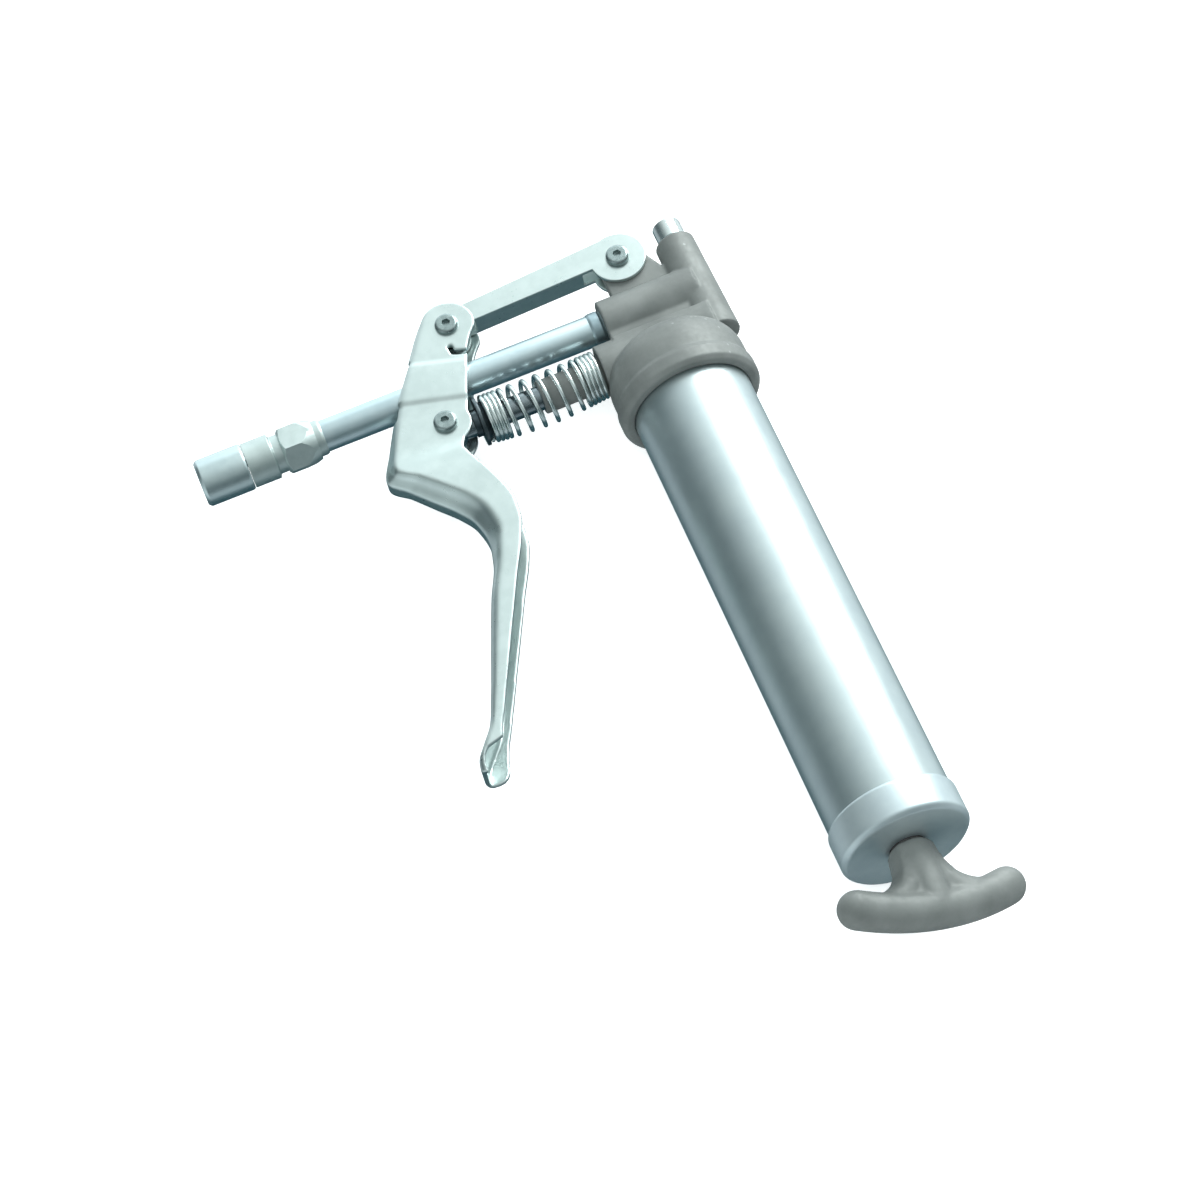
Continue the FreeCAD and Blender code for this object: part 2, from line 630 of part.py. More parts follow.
def plunger():
    """Plunger with its eye, the spring seat, the return spring and the packing."""
    axis = ("0", "-plunger_drop", "0")
    rod = cylinder("plunger_shaft_form", ("-plunger_tip", "-plunger_drop", "0"), "-x",
                   "plunger_radius", "plunger_pivot - plunger_tip")
    eye = cylinder("plunger_eye_form", ("-plunger_pivot", "-plunger_drop", "-eye_half_width"), "+z",
                   "eye_radius", "eye_half_width * 2")
    hole = cylinder("plunger_eye_hole", ("-plunger_pivot", "-plunger_drop", "-eye_half_width - 1"), "+z",
                    "shank_radius + running_gap", "eye_half_width * 2 + 2")
    nodes.append(cut("plunger_rod", fused("plunger_form", [rod, eye]), hole))
    turned_piece("spring_seat", axis, "-x", [
        ("seat_face - seat_hub", "plunger_radius + press_gap"),
        ("seat_face + seat_thickness + 2", "plunger_radius + press_gap"),
        ("seat_face + seat_thickness + 2", "plunger_radius + 0.55"),
        ("seat_face + seat_thickness", "plunger_radius + 0.55"),
        ("seat_face + seat_thickness", "seat_radius"),
        ("seat_face", "seat_radius"),
        ("seat_face", "spring_mean_radius - spring_wire - 0.3"),
        ("seat_face - seat_hub", "spring_mean_radius - spring_wire - 0.9"),
    ])
    helix_spring("return_spring", ("-plunger_boss_reach - spring_wire - spring_gap", "-plunger_drop", "0"),
                 "-x", "spring_mean_radius", "spring_wire",
                 "seat_face - plunger_boss_reach - (spring_wire + spring_gap) * 2", "spring_turns")
    ring_start = "guide_reach - packing_ring_length"
    packing_start = ring_start + " - packing_length"
    turned_piece("plunger_packing", axis, "-x",
                 ring_profile(packing_start, ring_start, "guide_radius - neck_wall - running_gap",
                              "plunger_radius + running_gap"))
    turned_piece("packing_ring", axis, "-x",
                 ring_profile(ring_start, "guide_reach", "guide_radius - neck_wall - press_gap",
                              "plunger_radius + running_gap"))


def outlet_valve():
    """Check ball, its spring, the slotted bleed screw above them and the screw's washer."""
    ball = primitive("Part::Sphere", "outlet_check_ball", ("tower_x", "-ball_height", "0"), Rotation(),
                     Radius="ball_radius")
    nodes.append(ball)
    helix_spring("outlet_check_spring", ("tower_x", "-ball_height + ball_radius + 0.6", "0"), "+y",
                 "valve_spring_radius", "valve_spring_wire",
                 "plug_tip + ball_height - ball_radius - 1.1", "valve_spring_turns")
    head_base = "tower_top + plug_washer"
    plug = new_body("bleed_screw", ("tower_x", "0", "0"), MAIN_AXES["+y"] * Z_TO_X)
    add_pad(plug, draw_circle, ("0", "0", "plug_thread_radius"), "plug_tip", head_base)
    add_pad(plug, draw_circle, ("0", "0", "plug_radius"), head_base, "plug_top")
    add_pocket(plug, draw_slot, ("0", "0", "plug_radius + 1", "plug_slot_half"),
               "plug_top - plug_slot_depth", "plug_top + 1")
    nodes.append(plug)
    turned_piece("bleed_washer", ("tower_x", "0", "0"), "+y",
                 ring_profile("tower_top", head_base, "plug_radius + 0.7",
                              "plug_thread_radius + running_gap"))


# ---------------------------------------------------------------- link and lever

def link():
    """Channel-section link: two cheeks joined by a web along the lower edge."""
    tilt = math.degrees(math.atan2(size("link_pivot_y") - size("fork_pivot_y"),
                                   size("fork_pivot_x") - size("link_pivot_x")))
    span = "sqrt((fork_pivot_x - link_pivot_x) ^ 2 + (link_pivot_y - fork_pivot_y) ^ 2)"
    body = new_body("link", ("-fork_pivot_x", "fork_pivot_y", "0"), Rotation(Vector(0, 0, 1), tilt))
    low, high = "-link_half_width", "link_half_width"
    bar = [
        ("0", "-link_bar_bottom"),
        (span, "-link_bar_bottom"),
        (span, "link_bar_top"),
        ("0", "link_fork_radius"),
    ]
    add_pad(body, draw_outline, (bar,), low, high)
    add_pad(body, draw_circle, (span, "0", "link_eye_radius"), low, high)
    add_pad(body, draw_circle, ("0", "0", "link_fork_radius"), low, high)
    inner = "(link_half_width - link_sheet)"
    web_top = "-link_bar_bottom + link_sheet"
    web_end = span + " - link_web_gap_lug"
    past_fork, past_eye, past_low, past_high = "-12", span + " + 12", "-12", "14"
    hollow = [
        (past_fork, past_low),
        ("link_web_gap_fork", past_low),
        ("link_web_gap_fork", web_top),
        (web_end, web_top),
        (web_end, past_low),
        (past_eye, past_low),
        (past_eye, past_high),
        (past_fork, past_high),
    ]
    add_pocket(body, draw_outline, (hollow,), "-" + inner, inner)
    add_pocket(body, draw_circle, (span, "0", "shank_radius + running_gap"), low + " - 1", high + " + 1")
    add_pocket(body, draw_circle, ("0", "0", "shank_radius + fork_play"), low + " - 1", high + " + 1")
    nodes.append(body)


def channel_section(web_side, open_side, half_width, bend):
    """Closed wire of the lever's pressed channel between its web side and its open side."""
    sheet_thickness = size("lever_sheet")
    web = Vector(web_side[0], web_side[1], 0)
    across = Vector(open_side[0], open_side[1], 0) - web
    depth = across.Length
    across.normalize()
    inner_bend = max(bend - sheet_thickness, 0.4)
    inner_half = half_width - sheet_thickness
    inset = 1 - math.sqrt(0.5)
    outer = [
        (depth, half_width),
        (bend, half_width),
        (bend * inset, half_width - bend * inset),
        (0, half_width - bend),
    ]
    inner = [
        (depth, inner_half),
        (sheet_thickness + inner_bend, inner_half),
        (sheet_thickness + inner_bend * inset, inner_half - inner_bend * inset),
        (sheet_thickness, inner_half - inner_bend),
    ]
    ring = outer + [(u, -v) for u, v in reversed(outer)] + [(u, -v) for u, v in inner] + list(reversed(inner))
    points = [web + across * u + Vector(0, 0, v) for u, v in ring]
    return Part.makePolygon(points + [points[0]])


def lever_outline():
    """Side view that trims the cheeks: two pivot lobes with a waist between them."""
    fork = Vector(-size("fork_pivot_x"), size("fork_pivot_y"), 0)
    foot = Vector(-size("plunger_pivot"), -size("plunger_drop"), 0)
    fork_lobe = size("fork_lobe_radius")
    foot_lobe = size("plunger_lobe_radius")

    def on_circle(centre, radius, degrees):
        return centre + Vector(math.cos(math.radians(degrees)), math.sin(math.radians(degrees)), 0) * radius

    left = on_circle(fork, fork_lobe, 146)
    right = on_circle(fork, fork_lobe, -22)
    lobe_in = on_circle(foot, foot_lobe, 12)
    lobe_out = on_circle(foot, foot_lobe, -62)
    edges = [
        Part.Arc(left, on_circle(fork, fork_lobe, 60), right).toShape(),
        Part.Arc(right, WAIST_MIDDLE, WAIST_END).toShape(),
        Part.LineSegment(WAIST_END, lobe_in).toShape(),
        Part.Arc(lobe_in, on_circle(foot, foot_lobe, -25), lobe_out).toShape(),
    ]
    corners = [lobe_out] + HANDLE_CORNERS + [left]
    for start, end in zip(corners, corners[1:]):
        edges.append(Part.LineSegment(start, end).toShape())
    return Part.Face(Part.Wire(edges))


def lever():
    """Pressed channel lever: lofted channel, trimmed to its side view, slotted for the nozzle."""
    reach = size("collar_radius")
    channel = Part.makeLoft([channel_section(*station) for station in LEVER_STATIONS], True, True)
    trim = lever_outline()
    trim.translate(Vector(0, 0, -reach))
    shape = channel.common(trim.extrude(Vector(0, 0, 2 * reach)))
    half = size("tube_slot_half")
    low = -size("tube_slot_below")
    high = size("tube_slot_above")
    corner = Vector(-size("tube_slot_outer"), low, -half)
    slot = Part.makeBox(size("tube_slot_outer") - size("tube_slot_inner"), high - low, 2 * half, corner)
    shape = shape.cut(slot)
    fork = Vector(-size("fork_pivot_x"), size("fork_pivot_y"), -reach)
    foot = Vector(-size("plunger_pivot"), -size("plunger_drop"), -reach)
    for spot in (fork, foot):
        hole = Part.makeCylinder(size("shank_radius") + size("press_gap"), 2 * reach, spot)
        shape = shape.cut(hole)
    piece = doc.addObject("Part::Feature", "lever")
    piece.Shape = shape.removeSplitter()
    place(piece, ("0", "0", "0"), Rotation())
    nodes.append(piece)


def button_screw(label, x, y, top, bottom):
    """Button-head socket screw with its head on top, along the Z axis."""
    screw = new_body(label, (x, y, "0"))
    add_pad(screw, draw_circle, ("0", "0", "shank_radius"), bottom, top)
    add_pad(screw, draw_circle, ("0", "0", "button_radius"), top, top + " + button_height")
    socket = add_pocket(screw, draw_hexagon, ("0", "0", "socket_flat"),
                        top + " + button_height - socket_depth", top + " + button_height + 1")
    crown = []
    for index, edge in enumerate(screw.Shape.Edges, start=1):
        if hasattr(edge.Curve, "Radius") and abs(edge.Curve.Radius - size("button_radius")) < 1e-3:
            crown.append((edge.BoundBox.ZMax, "Edge%d" % index))
    fillet = screw.newObject("PartDesign::Fillet", label + "_crown")
    fillet.Base = (socket, [max(crown)[1]])
    fillet.setExpression("Radius", bound("button_height * 0.6"))
    return screw


def hex_nut(label, x, y, top):
    """Thin hexagon nut on a pivot screw, hanging below a face."""
    nut = new_body(label, (x, y, "0"))
    add_pad(nut, draw_hexagon, ("0", "0", "nut_flat"), top + " - nut_height", top)
    add_pocket(nut, draw_circle, ("0", "0", "shank_radius + press_gap"),
               top + " - nut_height - 1", top + " + 1")
    return nut


def compound(label, pieces):
    """Identical fasteners kept as one node of separate solids."""
    group = doc.addObject("Part::Compound", label)
    group.Links = pieces
    nodes.append(group)


def pivots():
    """The three pivot screws and their nuts."""
    top = "link_half_width + head_play"
    bottom = "-link_half_width - head_play"
    link_screw = button_screw("link_pivot_screw", "-link_pivot_x", "link_pivot_y", top,
                              bottom + " - nut_height")
    link_nut = hex_nut("link_pivot_nut", "-link_pivot_x", "link_pivot_y", bottom)
    nodes.extend([link_screw, link_nut])
    spots = [
        ("-fork_pivot_x", "fork_pivot_y", "fork_cheek"),
        ("-plunger_pivot", "-plunger_drop", "foot_cheek"),
    ]
    screws = []
    nuts = []
    for index, (x, y, face) in enumerate(spots, start=1):
        screws.append(button_screw("lever_screw_%d" % index, x, y, face, "-(%s) - nut_height" % face))
        nuts.append(hex_nut("lever_nut_%d" % index, x, y, "-(%s)" % face))
    compound("lever_pivot_screws", screws)
    compound("lever_pivot_nuts", nuts)


# ---------------------------------------------------------------- nozzle and coupler

def nozzle():
    """Rigid nozzle tube with its lock ring."""
    turned_piece("nozzle_tube", ("0", "0", "0"), "-x",
                 ring_profile("tube_inner_end", "tube_outer_end", "tube_radius", "tube_bore"))
    turned_piece("nozzle_lock_ring", ("0", "0", "0"), "-x",
                 ring_profile("nozzle_boss_reach + 0.1", "nozzle_boss_reach + lock_ring_width",
                              "lock_ring_radius", "tube_radius + press_gap"))


def coupler():
    """Hydraulic coupler: hexagon body, screwed sleeve, split jaws, seal, spring and check ball."""
    pocket_floor = "waist_front - check_pocket"
    spigot_end = "waist_front + sleeve_spigot"
    body = new_body("coupler_body", turn=MAIN_AXES["-x"] * Z_TO_X)
    add_pad(body, draw_circle, ("0", "0", "tube_radius + 1.2"), "coupler_back", "hex_back")
    add_pad(body, draw_hexagon, ("0", "0", "hex_flat", "hex_turn"), "hex_back", "hex_front")
    add_pad(body, draw_circle, ("0", "0", "neck_radius"), "hex_front", "neck_front")
    add_pad(body, draw_circle, ("0", "0", "waist_radius"), "neck_front", "waist_front")
    add_pad(body, draw_circle, ("0", "0", "sleeve_bore - press_gap"), "waist_front", spigot_end)
    add_pocket(body, draw_circle, ("0", "0", "tube_radius + press_gap"), "coupler_back - 1", "tube_outer_end")
    add_pocket(body, draw_circle, ("0", "0", "port_radius"), "tube_outer_end - 1", pocket_floor)
    add_pocket(body, draw_circle, ("0", "0", "sleeve_bore - 2"), pocket_floor, spigot_end + " + 1")
    nodes.append(body)
    turned_piece("coupler_sleeve", ("0", "0", "0"), "-x", [
        ("waist_front", "sleeve_bore"),
        ("waist_front", "sleeve_radius"),
        ("coupler_mouth - 0.6", "sleeve_radius"),
        ("coupler_mouth", "sleeve_radius - 0.6"),
        ("coupler_mouth", "mouth_radius + jaw_wall"),
        ("coupler_mouth - 2", "mouth_radius + jaw_wall"),
        ("coupler_mouth - 5", "sleeve_bore"),
    ])
    jaws()
    turned_piece("coupler_seal", ("0", "0", "0"), "-x",
                 ring_profile("seal_face - 2.6", "seal_face - 0.1", "mouth_radius + 0.8", "1.1"))
    ball_place = pocket_floor + " + sqrt(check_radius ^ 2 - port_radius ^ 2) + 0.03"
    spring_start = ball_place + " + check_radius"
    helix_spring("coupler_spring", ("-(%s)" % spring_start, "0", "0"), "-x", "check_radius - 0.5",
                 "check_spring_wire", "seal_face - 3.1 - (%s)" % spring_start, "check_spring_turns")
    ball = primitive("Part::Sphere", "coupler_check_ball", ("-(%s)" % ball_place, "0", "0"), Rotation(),
                     Radius="check_radius")
    nodes.append(ball)


def jaws():
    """Four hardened jaws that grip the nipple, one solid each."""
    jaw_back = "waist_front + sleeve_spigot + free_gap"
    quarters = []
    for step in range(4):
        jaw = new_body("jaw_%d" % (step + 1), turn=Rotation(Vector(1, 0, 0), 90 * step) * MAIN_AXES["-x"])
        turn = revolve(jaw, [
            (jaw_back, "mouth_radius + jaw_wall"),
            ("seal_face", "mouth_radius + jaw_wall"),
            ("seal_face", "mouth_radius"),
            ("coupler_mouth - 0.8", "mouth_radius"),
            ("coupler_mouth - 0.8", "mouth_radius + jaw_wall - running_gap"),
            ("coupler_mouth - 2.2", "mouth_radius + jaw_wall - running_gap"),
            ("coupler_mouth - 5.2", "sleeve_bore - running_gap * 2"),
            (jaw_back, "sleeve_bore - running_gap * 2"),
        ])
        turn.setExpression("Angle", bound("jaw_angle"))
        quarters.append(jaw)
    compound("coupler_jaws", quarters)


# ---------------------------------------------------------------- build, check, write

head_casting()
barrel()
follower()
t_handle()
plunger()
outlet_valve()
link()
lever()
pivots()
nozzle()
coupler()
doc.recompute()

for item in doc.Objects:
    if "Invalid" in item.State or "Error" in item.State:
        raise RuntimeError("%s did not compute: %s" % (item.Label, item.State))
for node in nodes:
    if node.Shape.isNull() or not node.Shape.isValid() or node.Shape.Volume <= 0:
        raise RuntimeError("%s has no valid shape" % node.Label)

whole = FreeCAD.BoundBox()
for node in nodes:
    node.Shape.exportStep(os.path.join(PARTS_FOLDER, node.Label + ".step"))
    whole.add(node.Shape.optimalBoundingBox())
print("%d nodes" % len(nodes))
print("low corner %.2f %.2f %.2f" % (whole.XMin, whole.YMin, whole.ZMin))
print("high corner %.2f %.2f %.2f" % (whole.XMax, whole.YMax, whole.ZMax))
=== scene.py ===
import json
import math

import bmesh
import bpy
from mathutils import Matrix, Vector


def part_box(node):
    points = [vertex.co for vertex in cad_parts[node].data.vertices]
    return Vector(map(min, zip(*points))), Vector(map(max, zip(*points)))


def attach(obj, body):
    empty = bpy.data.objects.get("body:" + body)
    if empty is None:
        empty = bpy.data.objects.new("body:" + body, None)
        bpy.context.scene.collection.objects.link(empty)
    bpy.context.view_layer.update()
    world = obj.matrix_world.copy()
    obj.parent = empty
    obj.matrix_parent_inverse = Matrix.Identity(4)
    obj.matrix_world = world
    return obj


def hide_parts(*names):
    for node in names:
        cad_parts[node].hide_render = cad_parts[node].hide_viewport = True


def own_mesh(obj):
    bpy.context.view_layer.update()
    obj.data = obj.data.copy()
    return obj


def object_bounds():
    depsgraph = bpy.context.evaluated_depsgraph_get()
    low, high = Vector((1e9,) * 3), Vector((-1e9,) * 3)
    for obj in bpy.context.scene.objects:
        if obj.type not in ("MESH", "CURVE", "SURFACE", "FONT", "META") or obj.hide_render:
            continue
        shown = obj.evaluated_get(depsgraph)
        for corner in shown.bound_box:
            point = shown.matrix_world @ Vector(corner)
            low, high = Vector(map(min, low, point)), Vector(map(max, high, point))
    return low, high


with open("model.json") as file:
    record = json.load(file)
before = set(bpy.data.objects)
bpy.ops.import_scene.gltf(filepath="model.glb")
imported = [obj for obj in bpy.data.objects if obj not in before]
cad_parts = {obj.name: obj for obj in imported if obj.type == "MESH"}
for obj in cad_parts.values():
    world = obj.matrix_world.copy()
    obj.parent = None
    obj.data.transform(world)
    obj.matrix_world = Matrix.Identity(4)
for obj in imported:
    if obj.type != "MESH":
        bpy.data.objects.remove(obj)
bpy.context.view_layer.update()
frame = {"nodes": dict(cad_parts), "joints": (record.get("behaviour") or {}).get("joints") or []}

MM = 0.001

# ---------------------------------------------------------------- places, all from the frame


def middle(node):
    low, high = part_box(node)
    return (low + high) / 2


def joint_place(name):
    found = [joint for joint in frame["joints"] if joint["name"] == name]
    return Vector(found[0]["pos_m"])


# The gun's own origin: where the nozzle axis crosses the barrel axis, in the lever's plane.
GUN = Vector((middle("barrel_tube").x, middle("nozzle_tube").y, middle("barrel_tube").z))
PLUNGER_EYE = joint_place("lever_squeeze")
LUG_PIVOT = joint_place("link_swing")
SCREWS_LOW, SCREWS_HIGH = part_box("lever_pivot_screws")
HEAD_RADIUS = (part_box("link_pivot_screw")[1].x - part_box("link_pivot_screw")[0].x) / 2
FORK_PIVOT = Vector((SCREWS_HIGH.x - HEAD_RADIUS, SCREWS_HIGH.y - HEAD_RADIUS, GUN.z))


def gun_point(x, y, z=0.0):
    """A point of the gun's own frame, given in millimetres, in the row frame."""
    return GUN + Vector((x, y, z)) * MM


# ---------------------------------------------------------------- materials


class Shader:
    """A material's node tree with a few short ways to add to it."""

    def __init__(self, name):
        self.material = bpy.data.materials.new(name)
        self.material.use_nodes = True
        self.tree = self.material.node_tree
        self.surface = self.tree.nodes["Principled BSDF"]
        self.place = self.tree.nodes.new("ShaderNodeTexCoord").outputs["Object"]

    def node(self, kind, **values):
        made = self.tree.nodes.new(kind)
        for name, value in values.items():
            if hasattr(made, name):
                setattr(made, name, value)
            else:
                made.inputs[name.replace("_", " ")].default_value = value
        return made

    def link(self, source, target):
        self.tree.links.new(source, target)

    def stretched(self, scale):
        mapping = self.node("ShaderNodeMapping")
        mapping.inputs["Scale"].default_value = scale
        self.link(self.place, mapping.inputs["Vector"])
        return mapping.outputs["Vector"]

    def noise(self, scale, detail=4.0, roughness=0.55, vector=None):
        made = self.node("ShaderNodeTexNoise")
        made.inputs["Scale"].default_value = scale
        made.inputs["Detail"].default_value = detail
        made.inputs["Roughness"].default_value = roughness
        self.link(vector or self.place, made.inputs["Vector"])
        return made.outputs["Fac"]

    def ramp(self, value, stops):
        made = self.node("ShaderNodeValToRGB")
        made.color_ramp.interpolation = "EASE"
        ends = made.color_ramp.elements
        while len(ends) < len(stops):
            ends.new(0.5)
        for end, (at, shade) in zip(ends, stops):
            end.position = at
            end.color = (*shade, 1.0) if isinstance(shade, tuple) else (shade, shade, shade, 1.0)
        self.link(value, made.inputs["Fac"])
        return made.outputs["Color"]

    def rubbed(self, tint, colour, share, low, high):
        """The tint, with part of a brighter colour over it on outside edges."""
        made = self.node("ShaderNodeMix", data_type="RGBA")
        self.link(self.math("MULTIPLY", self.wear(low, high), share), made.inputs["Factor"])
        self.link(tint, made.inputs["A"])
        made.inputs["B"].default_value = (*colour, 1.0)
        return made.outputs["Result"]

    def math(self, operation, first, second):
        made = self.node("ShaderNodeMath", operation=operation)
        for value, socket in ((first, made.inputs[0]), (second, made.inputs[1])):
            if isinstance(value, (int, float)):
                socket.default_value = value
            else:
                self.link(value, socket)
        return made.outputs["Value"]

    def bump(self, height, strength, distance):
        made = self.node("ShaderNodeBump")
        made.inputs["Strength"].default_value = strength
        made.inputs["Distance"].default_value = distance
        self.link(height, made.inputs["Height"])
        return made.outputs["Normal"]

    def wear(self, low, high):
        """Bright on outside edges, from the shape's own curvature."""
        point = self.node("ShaderNodeNewGeometry").outputs["Pointiness"]
        return self.ramp(point, [(low, 0.0), (high, 1.0)])


def plated_metal(name, light, dark, rough, mottle=38.0, grain_stretch=(1.0, 1.0, 1.0), bump=0.04,
                 metallic=0.97):
    """Zinc plate or steel: faintly cloudy, with a fine satin grain and brighter rubbed edges."""
    shader = Shader(name)
    clouds = shader.noise(mottle, 5.0, 0.6)
    blotches = shader.noise(mottle * 5.2, 3.0, 0.5)
    tone = shader.math("ADD", shader.math("MULTIPLY", clouds, 0.6), shader.math("MULTIPLY", blotches, 0.4))
    tint = shader.ramp(tone, [(0.36, dark), (0.64, light)])
    shader.link(shader.rubbed(tint, (0.8, 0.88, 0.88), 0.15, 0.52, 0.6), shader.surface.inputs["Base Color"])
    shader.surface.inputs["Metallic"].default_value = metallic
    grain = shader.noise(1300.0, 3.0, 0.6, shader.stretched(grain_stretch))
    scuffs = shader.noise(mottle * 2.2, 6.0, 0.7)
    spread = shader.math("ADD", shader.math("MULTIPLY", grain, 0.1), shader.math("MULTIPLY", scuffs, 0.12))
    shader.link(shader.math("ADD", spread, rough - 0.11), shader.surface.inputs["Roughness"])
    shader.link(shader.bump(grain, bump, 0.00003), shader.surface.inputs["Normal"])
    return shader.material


def cast_zinc(name):
    """Die-cast zinc: dull grey skin with a fine grain and faintly polished edges."""
    shader = Shader(name)
    skin = shader.noise(650.0, 5.0, 0.65)
    clouds = shader.noise(70.0, 4.0, 0.5)
    tint = shader.ramp(clouds, [(0.3, (0.155, 0.168, 0.163)), (0.7, (0.212, 0.227, 0.22))])
    shader.link(shader.rubbed(tint, (0.45, 0.48, 0.47), 0.3, 0.53, 0.62), shader.surface.inputs["Base Color"])
    shader.surface.inputs["Metallic"].default_value = 0.35
    shader.link(shader.ramp(skin, [(0.3, 0.5), (0.7, 0.64)]), shader.surface.inputs["Roughness"])
    shader.link(shader.bump(skin, 0.3, 0.00008), shader.surface.inputs["Normal"])
    return shader.material


def moulded(name, colour, rough):
    """Rubber or moulded plastic with a fine matte skin."""
    shader = Shader(name)
    skin = shader.noise(700.0, 4.0, 0.6)
    lighter = tuple(value * 1.7 + 0.01 for value in colour)
    shader.link(shader.ramp(skin, [(0.3, colour), (0.75, lighter)]), shader.surface.inputs["Base Color"])
    shader.link(shader.ramp(skin, [(0.3, rough - 0.08), (0.7, rough + 0.08)]),
                shader.surface.inputs["Roughness"])
    shader.link(shader.bump(skin, 0.3, 0.00005), shader.surface.inputs["Normal"])
    return shader.material


# Name: light and dark tint, roughness, size of the mottling (higher is finer), stretch of the grain.
MATERIALS = {
    "plate": plated_metal("zinc_plate_bright", (0.62, 0.7, 0.69), (0.56, 0.64, 0.63), 0.3, 60.0),
    "barrel": plated_metal(
        "zinc_plate_drawn", (0.6, 0.68, 0.69), (0.55, 0.63, 0.65), 0.38, 30.0, (1.0, 0.05, 1.0)),
    "cap": plated_metal(
        "zinc_plate_spun", (0.58, 0.66, 0.68), (0.52, 0.6, 0.63), 0.42, 40.0, metallic=0.8),
    "tube": plated_metal(
        "zinc_plate_blue", (0.6, 0.71, 0.74), (0.52, 0.64, 0.68), 0.34, 40.0, (0.05, 1.0, 1.0)),
    "coupler": plated_metal(
        "zinc_plate_coupler", (0.6, 0.7, 0.71), (0.53, 0.63, 0.65), 0.32, 60.0, (1.0, 0.1, 0.1)),
    "knurl": plated_metal("zinc_plate_dull", (0.6, 0.68, 0.67), (0.52, 0.6, 0.59), 0.46, 60.0),
    "bright": plated_metal("bright_steel", (0.74, 0.8, 0.79), (0.64, 0.7, 0.7), 0.2, 60.0),
    "polished": plated_metal("polished_steel", (0.3, 0.34, 0.36), (0.22, 0.26, 0.28), 0.16, 60.0),
    "screw": plated_metal("screw_steel", (0.36, 0.43, 0.43), (0.26, 0.32, 0.32), 0.26, 140.0),
    "ring": plated_metal("zinc_plate_ring", (0.42, 0.52, 0.56), (0.3, 0.4, 0.44), 0.35, 60.0),
    "dark": plated_metal("blackened_steel", (0.13, 0.16, 0.18), (0.06, 0.08, 0.09), 0.34, 80.0),
    "jaw": plated_metal("hardened_steel", (0.34, 0.36, 0.36), (0.24, 0.26, 0.26), 0.3, 90.0),
    "cast": cast_zinc("cast_zinc_skin"),
    "rubber": moulded("black_rubber", (0.02, 0.02, 0.02), 0.6),
    "plastic": moulded("black_plastic_skin", (0.03, 0.03, 0.03), 0.45),
}

# ---------------------------------------------------------------- mesh helpers


def new_piece(name, mesh, material, body, replaced=()):
    """Makes the object, gives it its material and lets it ride on its CAD body."""
    piece = bpy.data.objects.new(name, mesh)
    bpy.context.scene.collection.objects.link(piece)
    mesh.materials.clear()
    mesh.materials.append(MATERIALS[material])
    shaded_smooth(mesh)
    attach(piece, body)
    if replaced:
        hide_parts(*replaced)
    return piece


def rounded(profile, radius):
    """Replaces each corner of a closed (along, radius) profile by a small arc."""
    count = len(profile)
    result = []
    for i, corner in enumerate(profile):
        here = Vector(corner)
        before = Vector(profile[i - 1]) - here
        after = Vector(profile[(i + 1) % count]) - here
        reach = min(radius, before.length * 0.45, after.length * 0.45)
        start = here + before.normalized() * reach
        end = here + after.normalized() * reach
        for step in range(5):
            t = step / 4
            result.append(start * (1 - t) ** 2 + here * 2 * t * (1 - t) + end * t ** 2)
    return result


def lathe_mesh(name, profile, start, direction, segments=144):
    """A closed profile of (along, radius) in metres, turned about an axis."""
    axis = Vector(direction).normalized()
    side = axis.orthogonal().normalized()
    other = axis.cross(side)
    mesh = bpy.data.meshes.new(name)
    points = []
    faces = []
    count = len(profile)
    for step in range(segments):
        angle = 2 * math.pi * step / segments
        spoke = side * math.cos(angle) + other * math.sin(angle)
        points += [Vector(start) + axis * along + spoke * radius for along, radius in profile]
    for step in range(segments):
        following = (step + 1) % segments
        for i in range(count):
            j = (i + 1) % count
            faces.append((step * count + i, following * count + i, following * count + j, step * count + j))
    mesh.from_pydata(points, [], faces)
    mesh.update()
    return mesh


def turned(name, node, body, material, profile, axis, radius=0.3):
    """A turned piece in place of a CAD node; profile in mm from the gun's origin along the axis."""
    corners = rounded([(along * MM, across * MM) for along, across in profile], radius * MM)
    mesh = lathe_mesh(name, corners, axis_origin(node, axis), axis)
    return new_piece(name, mesh, material, body, (node,))


def axis_origin(node, axis):
    """The foot of the gun's origin on a node's own axis."""
    centre = middle(node)
    along = Vector(axis)
    return centre + along * (GUN - centre).dot(along)


def tube_mesh(name, path, radius, sides=12):
    """A round wire along a list of points, with closed ends."""
    mesh = bpy.data.meshes.new(name)
    points = []
    faces = []
    normal = None
    for i, here in enumerate(path):
        ahead = path[min(i + 1, len(path) - 1)] - path[max(i - 1, 0)]
        ahead.normalize()
        if normal is None:
            normal = ahead.orthogonal().normalized()
        normal = (normal - ahead * normal.dot(ahead)).normalized()
        other = ahead.cross(normal)
        for k in range(sides):
            angle = 2 * math.pi * k / sides
            points.append(here + (normal * math.cos(angle) + other * math.sin(angle)) * radius)
    for i in range(len(path) - 1):
        for k in range(sides):
            j = (k + 1) % sides
            faces.append((i * sides + k, i * sides + j, (i + 1) * sides + j, (i + 1) * sides + k))
    faces.append(tuple(reversed(range(sides))))
    faces.append(tuple(range((len(path) - 1) * sides, len(path) * sides)))
    mesh.from_pydata(points, [], faces)
    mesh.update()
    return mesh


def baked(piece):
    """Applies all of a piece's modifiers."""
    depsgraph = bpy.context.evaluated_depsgraph_get()
    depsgraph.update()
    mesh = bpy.data.meshes.new_from_object(piece.evaluated_get(depsgraph))
    piece.modifiers.clear()
    piece.data = mesh
    return mesh


def shaded_smooth(mesh):
    for polygon in mesh.polygons:
        polygon.use_smooth = True


